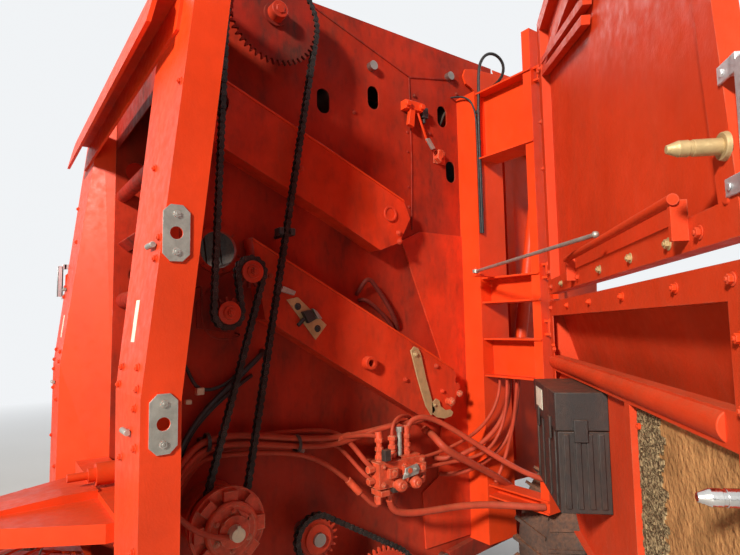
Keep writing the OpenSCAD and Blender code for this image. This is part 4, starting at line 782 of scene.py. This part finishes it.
def bent_lever():
    """Plated lever that hooks round a bolt, on the lower channel."""
    y = CHANNEL + 6
    bm = bmesh.new()
    side_slab(bm, y, [(-1256, 1380), (-1276, 1398), (-1300, 1390), (-1316, 1366), (-1348, 1238), (-1376, 1150),
                      (-1398, 1096), (-1372, 1076), (-1340, 1120), (-1314, 1190), (-1290, 1262)], 7)
    side_slab(bm, y, [(-1376, 1130), (-1404, 1150), (-1424, 1140), (-1432, 1112), (-1462, 1090), (-1494, 1090),
                      (-1512, 1076), (-1500, 1058), (-1456, 1052), (-1408, 1062), (-1376, 1084)], 7)
    bolt(bm, (-1285, y + 6, 1362), size=19, head=7)
    bolt(bm, (-1392, y + 6, 1122), size=13, head=5)
    finish("plated_lever", bm, khaki_zinc, "frame", bevel=1.2)
    bm = bmesh.new()
    rod(bm, (-1487, CHANNEL, 1130), (-1487, CHANNEL + 30, 1130), 16)
    bolt(bm, (-1487, CHANNEL + 28, 1130), size=27, head=11)
    bolt(bm, (-1560, 710, 1160), size=22, head=10)
    finish("hook_bolt", bm, fitting_red, "frame", bevel=1.2)


bent_lever()


def sensor_plate():
    y = CHANNEL + 3
    bm = bmesh.new()
    side_slab(bm, y, [(-629, 1606), (-678, 1618), (-812, 1504), (-759, 1444)], 4)
    finish("sensor_plate", bm, khaki_zinc, "frame", bevel=0.8)
    bm = bmesh.new()
    side_bolts(bm, y + 4, ((-678, 1580), (-768, 1490)), size=19, head=7)
    side_slab(bm, y + 4, [(-690, 1558), (-726, 1566), (-752, 1530), (-716, 1512)], 24)
    rod(bm, (-700, y + 16, 1530), (-672, y + 16, 1504), 8)
    finish("sensor_body", bm, black_plastic, "frame", bevel=2)
    bm = bmesh.new()
    side_slab(bm, y + 5, [(-736, 1572), (-756, 1560), (-780, 1530), (-760, 1530)], 20)
    side_slab(bm, y - 2, [(-600, 1640), (-612, 1660), (-668, 1640), (-660, 1624)], 12)
    finish("sensor_clamps", bm, zinc, "frame", bevel=1.5)


sensor_plate()


def switch_and_hook():
    """Limit switch with its bracket and arm, and the hook bracket, high on the side plate."""
    bm = bmesh.new()
    block(bm, (-1420, SIDE, 2565), (-1310, SIDE + 44, 2610))
    for x in (-1412, -1322):
        rod(bm, (x, SIDE + 40, 2588), (x, SIDE + 58, 2588), 17, 14)
    side_slab(bm, SIDE + 20, [(-1340, 2566), (-1372, 2566), (-1362, 2476), (-1326, 2486)], 22)
    side_slab(bm, SIDE + 26, [(-1388, 2570), (-1398, 2570), (-1462, 2420), (-1450, 2416)], 8)
    finish("switch_bracket", bm, red_paint, "frame", bevel=2)
    bm = bmesh.new()
    side_slab(bm, SIDE + 30, [(-1440, 2432), (-1462, 2440), (-1500, 2392), (-1478, 2384)], 12)
    finish("switch_arm", bm, zinc, "frame", bevel=1.5)
    bm = bmesh.new()
    block(bm, (-1468, SIDE, 2545), (-1430, SIDE + 30, 2600))
    rod(bm, (-1448, SIDE + 17, 2548), (-1448, SIDE + 17, 2520), 8)
    finish("limit_switch", bm, black_plastic, "frame", bevel=2)
    bm = bmesh.new()
    block(bm, (-1600, SIDE, 2330), (-1520, SIDE + 5, 2400))
    side_slab(bm, SIDE + 5, [(-1560, 2395), (-1530, 2395), (-1520, 2350), (-1545, 2330), (-1548, 2350),
                             (-1560, 2360)], 30)
    finish("hook_bracket", bm, fitting_red, "frame", bevel=1)


def plate_seams():
    """Screws round the ports and along the sheets, the sheets' laps and a cream plug."""
    bm = bmesh.new()
    for port, ring in (((-338, 2398), 78), ((-379, 1801), 82)):
        side_bolts(bm, SIDE + 14, ring_of(6, ring, port, 0.25), size=11, head=4, washer=False)
    side_bolts(bm, SIDE, ((-1500, 2480), (-1700, 2740), (-1030, 2495), (-1400, 2660)), size=15, head=6)
    for z in (2560, 2460, 2360, 2180, 2080):
        rod(bm, (-1350, SIDE, z), (-1350, SIDE + 4, z), 7, 5)
    finish("plate_screws", bm, shaded_red, "frame", bevel=0.5)
    bm = bmesh.new()
    top = 2950
    for line in (((-600, 3008), (-841, 2926), (-1371, 2748), (-1690, 2812)),
                 ((-1371, 2748), (-1376, 2320), (-1366, 1965))):
        for (xa, za), (xb, zb) in zip(line, line[1:]):
            if za > top:
                share = (top - za) / (zb - za)
                xa, za = xa + (xb - xa) * share, top
            dx, dz = (7, 0) if abs(zb - za) > abs(xb - xa) else (0, 8)
            side_slab(bm, SIDE, [(xa, za), (xb, zb), (xb + dx, zb + dz), (xa + dx, za + dz)], 5)
    finish("sheet_laps", bm, shaded_red, "frame", bevel=1.2)
    bm = bmesh.new()
    turned(bm, [(0, 4), (0, 26), (12, 24), (20, 15), (20, 4)], (-262, SIDE, 2000), steps=32)
    finish("cream_plug", bm, cream_plastic, "frame")


switch_and_hook()
plate_seams()

# Hydraulics: PORTS is the plane in which the valve block's hose fittings stand

PORTS = 747


def valve_details():
    bm = bmesh.new()
    y = SIDE + 176
    for x in (-1105, -1185):
        turned(bm, [(20, 6), (20, 27), (27, 27), (34, 24), (40, 20), (40, 6)], (x, y, 828), steps=32)
        rod(bm, (x, y + 38, 828), (x, y + 43, 828), 9, sides=6)
    side_bolts(bm, y, ((-1030, 910), (-1030, 838), (-1240, 910), (-1240, 838), (-1145, 900)), size=15, head=8)
    for x in (-1070, -1150, -1225):
        block(bm, (x - 22, y - 2, 862), (x + 22, y + 22, 902))
        rod(bm, (x, y + 20, 882), (x, y + 32, 882), 13, sides=6)
    for x in (-1040, -1110, -1190):
        for z in (934, 968, 1004):
            rod(bm, (x, PORTS, z), (x, PORTS, z + 16), 19, sides=6)
        rod(bm, (x, PORTS, 960), (x, PORTS, 1024), 13)
    for x in (-1030, -1090):
        rod(bm, (x, PORTS, 752), (x, PORTS, 786), 17, sides=6)
    rod(bm, (-1006, PORTS, 898), (-978, PORTS, 898), 17, sides=6)
    rod(bm, (-1006, PORTS, 850), (-978, PORTS, 850), 15, sides=6)
    block(bm, (-1252, y - 60, 812), (-1198, y + 6, 838))
    block(bm, (-1060, y - 70, 790), (-1016, y + 4, 812))
    finish("valve_caps", bm, fitting_red, "frame", bevel=1.8)
    bm = bmesh.new()
    rod(bm, (-1150, PORTS, 930), (-1150, PORTS, 1040), 11)
    rod(bm, (-1150, PORTS, 1036), (-1150, PORTS, 1056), 16, sides=6)
    side_slab(bm, y + 24, [(-1110, 852), (-1196, 862), (-1204, 884), (-1190, 906), (-1128, 896)], 6)
    side_bolts(bm, y + 29, ((-1132, 872), (-1178, 886)), size=13, head=6)
    finish("valve_solenoid_plate", bm, zinc, "frame", bevel=1)
    bm = bmesh.new()
    block(bm, (-1050, y + 4, 938), (-1018, y + 30, 984))
    block(bm, (-1098, y - 10, 800), (-1072, y + 14, 818))
    finish("valve_coils", bm, black_plastic, "frame", bevel=2)


valve_details()

HOSES = [
    (11, [(-150, 730, 598), (-152, 730, 700), (-172, 720, 850), (-218, 690, 960), (-300, 664, 1052),
          (-430, 656, 1088), (-640, 654, 1080), (-860, 658, 1070), (-940, 700, 1005), (-980, 738, 920),
          (-1008, PORTS, 898)]),
    (9, [(-180, 712, 598), (-181, 712, 700), (-192, 700, 830), (-228, 668, 930), (-298, 640, 1020),
         (-430, 633, 1056), (-640, 632, 1050), (-860, 636, 1028), (-930, 684, 950), (-975, 735, 868),
         (-1008, PORTS, 850)]),
    (12, [(-1190, PORTS, 1018), (-1196, 748, 1068), (-1250, 758, 1096), (-1340, 786, 1070), (-1480, 850, 970),
          (-1600, 940, 870), (-1680, 1030, 812), (-1719, 1062, 800)]),
    (15, [(-1090, PORTS, 758), (-1094, 748, 712), (-1160, 754, 684), (-1300, 776, 676), (-1450, 830, 686),
          (-1590, 930, 684), (-1680, 1035, 680), (-1719, 1062, 680)]),
    (8, [(-1752, 800, 1234), (-1748, 799, 1130), (-1670, 778, 1010), (-1540, 762, 950), (-1400, 750, 915),
         (-1300, 747, 906), (-1262, PORTS, 905)]),
    (8, [(-1744, 852, 1234), (-1738, 850, 1070), (-1680, 835, 935), (-1590, 805, 872), (-1430, 762, 862),
         (-1300, 748, 860), (-1262, PORTS, 860)]),
]
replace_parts(hose_line("hydraulic_hoses", HOSES, hose_red), "hoses")
# Short link hoses between the valve block's fittings and the side plate, held at both ends
BUNDLE = [(-190, SIDE, 905), (-192, 650, 930), (-205, 684, 990), (-258, 690, 1070), (-318, 690, 1104),
          (-442, 690, 1106), (-679, 690, 1056), (-865, 692, 1034), (-1040, 704, 1046), (-1190, 706, 1062),
          (-1300, 704, 1052)]


def beside(route, dy, dz):
    """A hose that starts where another one does and runs along it, moved in Y and Z."""
    return [route[0]] + [(x, y + dy, z + dz) for x, y, z in route[1:-1]] + [route[-1]]


hose_line("valve_link_hoses", [
    (12, BUNDLE + [(-1395, 690, 1076), (-1440, 640, 1094), (-1446, SIDE + 8, 1096)]),
    (11, beside(BUNDLE[:-2], 4, -30) + [(-1190, 742, 1072), (-1191, 747, 1020)]),
    (9, beside(BUNDLE[:-3], -26, -14) + [(-1040, 736, 1040), (-1040, 747, 1018)]),
    (10, [(-200, SIDE, 860), (-206, 648, 900), (-240, 668, 986), (-311, 672, 1040), (-482, 676, 1030),
          (-660, 690, 1008), (-783, 700, 962), (-905, 716, 862), (-985, 738, 770), (-1024, 746, 736),
          (-1030, 747, 756)]),
    (8, [(-1110, 747, 1018), (-1110, 746, 1062), (-1150, 730, 1098), (-1230, 706, 1092), (-1290, 664, 1064),
         (-1300, SIDE + 8, 1058)]),
], hose_red)
hose_line("front_dark_hoses", [
    (11, [(-196, SIDE, 830), (-196, 640, 870), (-190, 668, 950), (-214, 676, 1050), (-262, 664, 1130),
          (-330, 652, 1210), (-440, 650, 1300), (-520, 648, 1370), (-560, 640, 1400), (-566, SIDE, 1404)]),
    (8, [(-222, SIDE, 830), (-222, 632, 872), (-216, 652, 960), (-236, 656, 1060), (-290, 650, 1150),
         (-380, 646, 1230), (-470, 640, 1290), (-520, SIDE, 1310)]),
    (7, [(-250, SIDE, 1380), (-262, 640, 1350), (-280, 648, 1290), (-330, 650, 1262), (-420, 646, 1290),
         (-470, SIDE, 1330)]),
], hose_black)
hose_line("hub_grease_hose", [
    (9, [(-7, 1000, 1100), (-22, 1000, 1092), (-60, 984, 1048), (-128, 950, 950), (-206, 910, 872),
         (-272, 886, 832), (-318, 880, 818), (-338, 872, 815)]),
], hose_red)
hose_line("channel_hoses", [
    (10, [(-1027, SIDE, 1640), (-1030, 636, 1660), (-1044, 650, 1700), (-1075, 652, 1712), (-1105, 648, 1680),
          (-1167, 646, 1610), (-1229, 640, 1522), (-1262, SIDE, 1480)]),
    (9, [(-1040, SIDE, 1612), (-1050, 640, 1624), (-1109, 646, 1585), (-1206, 640, 1500), (-1240, SIDE, 1462)]),
], hose_dark)
hose_line("rear_hoses", [
    (17, [(-1394, SIDE + 24, 1000), (-1372, 730, 986), (-1339, 800, 951), (-1480, 806, 876), (-1642, 806, 792),
          (-1760, 802, 724), (-1812, 792, 690), (-1830, 784, 668)]),
    (12, [(-1470, SIDE + 8, 850), (-1490, 690, 852), (-1600, 760, 890), (-1740, 800, 990), (-1800, 812, 1110),
          (-1806, 816, 1232)]),
    (11, [(-1500, SIDE + 8, 770), (-1530, 690, 772), (-1660, 764, 812), (-1790, 820, 930), (-1836, 836, 1080),
          (-1840, 840, 1232)]),
    (9, [(-1690, 800, 735), (-1740, 806, 800), (-1764, 824, 900), (-1770, 870, 1040), (-1772, 890, 1232)]),
], hose_red)


def hose_ferrules():
    """Crimped ends and black ties on the hoses beside the valve block."""
    bm = bmesh.new()
    for a, b in (((-865, 692, 1034), (-925, 695, 1038)), ((-900, 714, 866), (-950, 728, 808)),
                 ((-1190, 747, 1018), (-1190, 745, 1058)), ((-1040, 747, 1014), (-1040, 741, 1046))):
        rod(bm, a, b, 15.5, sides=20)
    finish("hose_ferrules", bm, fitting_red, "frame", bevel=1.5)
    bm = bmesh.new()
    for place in ((-318, 690, 1092), (-679, 690, 1040)):
        turned(bm, [(-7, 30), (-7, 34), (7, 34), (7, 30)], place, axis=(1, 0, 0), steps=24)
    block(bm, (-330, SIDE, 1080), (-306, 660, 1098))
    block(bm, (-691, SIDE, 1030), (-667, 660, 1048))
    finish("hose_ties", bm, black_plastic, "frame", bevel=1)
    bm = bmesh.new()
    block(bm, (-316, 640, 1258), (-288, 668, 1284))
    block(bm, (-272, 644, 1228), (-250, 664, 1244))
    finish("cable_plugs", bm, cream_plastic, "frame", bevel=3)


hose_ferrules()


def post_hose():
    """Black hose clipped down the strip on the rear post, with a loop at the top, and a cable."""
    x, y = -1718, 750
    hose_line("post_hose", [
        (8, [(x, y, 1960), (x, y, 2080), (x, y, 2260), (x, y, 2440), (x, y, 2600), (-1722, 754, 2700),
             (-1716, 760, 2790), (-1728, 764, 2870), (-1780, 768, 2930), (-1850, 768, 2944),
             (-1912, 764, 2920), (-1930, 756, 2860), (-1932, 700, 2820), (-1930, SIDE, 2810)]),
        (5, [(-1708, 746, 1960), (-1707, 747, 2200), (-1707, 747, 2500), (-1704, 742, 2640),
             (-1680, 700, 2700), (-1660, SIDE, 2712)])], hose_black)
    bm = bmesh.new()
    for z in (2080, 2260, 2440, 2600):
        turned(bm, [(-9, 6.2), (-9, 9), (9, 9), (9, 6.2)], (x, y, z), axis=(0, 0, 1), steps=20)
        block(bm, (x - 10, y - 9, z - 8), (x + 10, y - 5, z + 8))
    finish("hose_clips", bm, black_plastic, "frame", bevel=0.5)


post_hose()

# Doors. A point of a door is given as its distance from the hinge pins, how far it lies outwards,
# and its height; the door on the left stands open.

HINGE = Vector((-1755, 1110))
OPEN = math.radians(46)


def on_door(s, out, z, side=1):
    turn = OPEN if side > 0 else 0.0
    x = HINGE.x + s * math.cos(turn) - out * math.sin(turn)
    y = HINGE.y + s * math.sin(turn) + out * math.cos(turn)
    return (x, side * y, z)


def inwards(side):
    return (Vector(on_door(0, -1, 0, side)) - Vector(on_door(0, 0, 0, side))).normalized()


def door_block(bm, low, high, side=1):
    """A block that lies square to the door."""
    (s0, o0, z0), (s1, o1, z1) = low, high
    slab(bm, [on_door(s, out, z0, side) for s, out in ((s0, o0), (s1, o0), (s1, o1), (s0, o1))],
         (0, 0, 1), z1 - z0)


def door_rod(bm, s, z, out, out_end, r, side, r_end=None, sides=24):
    rod(bm, on_door(s, out, z, side), on_door(s, out_end, z, side), r, r_end, sides=sides)


def door_bolts(bm, side, places, out=-8, size=17):
    for s, z in places:
        bolt(bm, on_door(s, out, z, side), inwards(side), size=size)


def latch_pins(side, name):
    for door, (x, z), material in (("upper", UPPER_LATCH, khaki_zinc), ("lower", LOWER_LATCH, chrome_pin)):
        bm = bmesh.new()
        foot = Vector(on_door(x - HINGE.x, -7, z, side))
        for start, end, r, r_end, sides in ((0, 8, 24, 22, 32), (7, 50, 13.6, 13.6, 48), (49, 57, 12.4, 12.4, 48),
                                            (56, 72, 13.6, 13.2, 48), (71, 89, 13.2, 6.6, 48)):
            rod(bm, foot + inwards(side) * start, foot + inwards(side) * end, r, r_end, sides=sides)
        finish("latch_pin_%s_%s" % (door, name), bm, material, "%s_door_%s" % (door, name), bevel=0.8)


on_both_sides(latch_pins)


def upper_door_details(side, name):
    body = "upper_door_" + name
    bm = bmesh.new()
    door_bolts(bm, side, ((330, 1652), (900, 1652), (1180, 1652), (1420, 1652)))
    finish("door_bolts_" + name, bm, khaki_zinc, body, bevel=0.6)
    bm = bmesh.new()
    door_bolts(bm, side, ((110, 1652), (620, 1652), (1560, 1652), (44, 1720), (78, 1720), (44, 2660), (78, 2660),
                          (44, 2200), (44, 2420)))
    # Flat rivets where the closed door lies on the front post
    for s, z in ((1659, 1690), (1613, 2100), (1566, 2520)):
        door_rod(bm, s, z, -6, -11, 12, side, 9, sides=20)
    # Two braces across the upper corner
    for outline in (((92, 2706), (860, 2528), (850, 2500), (92, 2676)),
                    ((92, 2650), (830, 2478), (820, 2450), (92, 2620))):
        slab(bm, [on_door(s, -6, z, side) for s, z in outline], -inwards(side), 30)
    finish("door_brace_" + name, bm, dusty_red, body, bevel=2)
    # Grip on the free edge, on two lugs
    bm = bmesh.new()
    foot, head = 1704, 1890
    for z in (foot, head - 4):
        door_block(bm, (1664, -12, z - 15), (1712, -8, z + 15), side)
        door_block(bm, (1699, -12, z - 15), (1722, 2, z + 15), side)
        door_rod(bm, 1680, z, -12, -15, 7, side, sides=6)
    for s0, s1, out in ((1716, 1724, 26), (1716, 1746, -6), (1740, 1746, 26)):
        door_block(bm, (s0, -12, foot), (s1, out, head), side)
    finish("door_grip_" + name, bm, aluminium, body, bevel=2.5)


on_both_sides(upper_door_details)


def toolbox():
    """Black plastic toolbox with a lid, ribs on its end and a blank label."""
    y, depth = 14, 150
    s0, s1, z0, lid, z1 = 400, 820, 925, 1170, 1285
    front = y - depth
    bm = bmesh.new()
    door_block(bm, (s0, front, z0), (s1, y, lid - 3))
    door_block(bm, (s0 - 6, front - 6, lid), (s1 + 6, y, z1))
    for out in (-112, -78, -44, -10):
        door_block(bm, (s1 - 2, out - 9, z0 + 14), (s1 + 5, out + 9, lid - 10))
    for s in (s0 + 40, s0 + 150, s1 - 150, s1 - 40):
        door_block(bm, (s - 9, front - 5, z0 + 12), (s + 9, front + 1, lid - 8))
    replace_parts(finish("toolbox_shell", bm, black_plastic, "lower_door_left", bevel=7), "toolbox")
    bm = bmesh.new()
    door_block(bm, (s1 + 4, -90, lid - 34), (s1 + 12, -48, lid + 34))
    for s in (s0 + 95, s1 - 95):
        door_block(bm, (s - 20, front - 12, lid - 40), (s + 20, front - 4, lid + 30))
    finish("toolbox_catches", bm, black_plastic, "lower_door_left", bevel=3)
    bm = bmesh.new()
    door_block(bm, (s0 + 60, front - 7.6, lid + 26), (s0 + 190, front - 5.4, z1 - 20))
    finish("toolbox_label", bm, pale_label, "lower_door_left")


toolbox()


def noise_at(a, b, seed):
    return smooth_noise.noise(Vector((a * 0.03, b * 0.05, seed)))


def straw_strip(bm, side):
    """Uneven cake of straw on the panel: an upright strip and a low drift, in small raised tiles."""
    steps, rows = 14, 44
    panel_foot, panel_top = 716, 1280
    for low, high, drift in ((1106, 1260, False), (1150, 1640, True)):
        for r in range(rows):
            z = panel_foot + (panel_top - panel_foot) * r / rows
            if drift and z > panel_foot + 150 * (1.0 + noise_at(high, z, 3)):
                continue
            reach = high if drift else high - 40 * noise_at(low, z, 9)
            width = (reach - low) / steps * 1.15
            for k in range(steps):
                s = low + (reach - low) * k / steps
                tall = 1.5 + 6 * abs(noise_at(s, z, 1))
                door_block(bm, (s, 9.4 - tall, z), (s + width, 12.5, z + 14.5), side)


def lower_door_details(side, name):
    body = "lower_door_" + name
    bm = bmesh.new()
    door_block(bm, (1102, 9.5, 712), (1640, 13.8, 1286), side)
    finish("dusty_panel_" + name, bm, tan_panel, body, bevel=1)
    bm = bmesh.new()
    straw_strip(bm, side)
    finish("straw_cake_" + name, bm, matted_straw, body)
    bm = bmesh.new()
    rod(bm, on_door(34, 8, 1324, side), on_door(1600, 8, 1324, side), 30, sides=40)
    finish("door_round_rail_" + name, bm, dusty_red, body, bevel=2)
    # Plate that carries the latch pin, rounded at both ends
    bm = bmesh.new()
    pin_s = LOWER_LATCH[0] - HINGE.x
    door_block(bm, (pin_s - 19, -11.5, 1196), (pin_s + 19, -8.2, 1284), side)
    for z in (1196, 1284):
        door_rod(bm, pin_s, z, -11.5, -8.2, 19, side, sides=32)
    for z in (1205, 1275):
        door_rod(bm, pin_s, z, -11, -15.5, 9, side, sides=6)
    finish("pin_plate_" + name, bm, zinc, body, bevel=0.8)
    bm = bmesh.new()
    door_bolts(bm, side, ((80, 1562), (420, 1562), (760, 1562), (1100, 1562), (1440, 1562), (1660, 1562),
                          (1670, 860), (1670, 1080), (1670, 1360), (1670, 1470), (110, 1400), (126, 1384)), size=15)
    door_bolts(bm, side, ((1130, 1240), (1130, 760)), out=9.5, size=15)
    finish("lower_door_bolts_" + name, bm, red_paint, body, bevel=0.6)


on_both_sides(lower_door_details)

# Light and floor

BACKGROUND = (0.88, 0.90, 0.92, 1)
GROUND_Z = -0.64
MACHINE_MIDDLE = Vector((-2.2, 0.6, 0.9))
LIGHTS = (
    # name, place from the machine's middle, size, power, colour
    ("key", (11.4, 5.8, 5.6), 1.3, 3400, (1.0, 0.95, 0.88)),
    ("fill", (0.0, 6.8, 1.6), 4.0, 8, (0.94, 0.96, 1.0)),
    ("rear", (-6.5, -1.5, 4.0), 4.0, 300, (0.98, 0.98, 1.0)),
    ("right", (-3.0, -7.0, 4.0), 4.0, 270, (1.0, 0.98, 0.95)),
)


def pale_beyond(tree, kind, surface, seen_by):
    """Mixes a surface or light with plain pale light, which only some rays see."""
    pale = add(tree, kind)
    pale.inputs["Color"].default_value = BACKGROUND
    mix = add(tree, "ShaderNodeMixShader")
    for socket, value in zip(mix.inputs, (seen_by, surface, pale.outputs[0])):
        put(tree, socket, value)
    return mix.outputs[0]


def pale_floor():
    """Plain floor that fades into the background far from the machine."""
    bm = bmesh.new()
    ground = Matrix.Translation((-1.5, 0, GROUND_Z))
    bmesh.ops.create_grid(bm, x_segments=1, y_segments=1, size=40, matrix=ground)
    mesh = bpy.data.meshes.new("floor")
    bm.to_mesh(mesh)
    bm.free()
    material, tree, shader = new_material("pale_floor")
    place = object_place(tree)
    put(tree, shader.inputs["Base Color"],
        blend_colour(tree, noise(tree, place, 1.2), (0.47, 0.47, 0.46, 1), (0.52, 0.52, 0.51, 1)))
    shader.inputs["Roughness"].default_value = 0.9
    shader.inputs["Specular IOR Level"].default_value = 0.1
    far = add(tree, "ShaderNodeVectorMath", operation="DISTANCE")
    put(tree, far.inputs[0], place)
    put(tree, far.inputs[1], (-2.2, 0.0, GROUND_Z))
    fade = maths(tree, "MULTIPLY", ramp_between(tree, far.outputs["Value"], 4.0, 11.0),
                 add(tree, "ShaderNodeLightPath").outputs["Is Camera Ray"])
    put(tree, tree.nodes["Material Output"].inputs["Surface"],
        pale_beyond(tree, "ShaderNodeEmission", shader.outputs[0], fade))
    mesh.materials.append(material)
    floor = bpy.data.objects.new("floor", mesh)
    bpy.context.scene.collection.objects.link(floor)


def studio_light():
    """Dim even light all round, which rays that see the background find pale, and four lamps."""
    world = bpy.data.worlds.new("studio")
    bpy.context.scene.world = world
    world.use_nodes = True
    tree = world.node_tree
    ambient = tree.nodes["Background"]
    ambient.inputs["Color"].default_value = (0.84, 0.90, 1.0, 1)
    ambient.inputs["Strength"].default_value = 0.10
    rays = add(tree, "ShaderNodeLightPath").outputs
    seen = maths(tree, "MAXIMUM", maths(tree, "MAXIMUM", rays["Is Camera Ray"], rays["Is Glossy Ray"]),
                 rays["Is Transmission Ray"])
    put(tree, tree.nodes["World Output"].inputs["Surface"],
        pale_beyond(tree, "ShaderNodeBackground", ambient.outputs[0], seen))
    for name, offset, size, power, colour in LIGHTS:
        data = bpy.data.lights.new(name, "AREA")
        data.size, data.energy, data.color = size, power, colour
        lamp = bpy.data.objects.new(name, data)
        bpy.context.scene.collection.objects.link(lamp)
        lamp.location = MACHINE_MIDDLE + Vector(offset)
        lamp.rotation_euler = (-Vector(offset)).to_track_quat("-Z", "Y").to_euler()


pale_floor()
studio_light()
bpy.context.scene.view_settings.view_transform = "Standard"
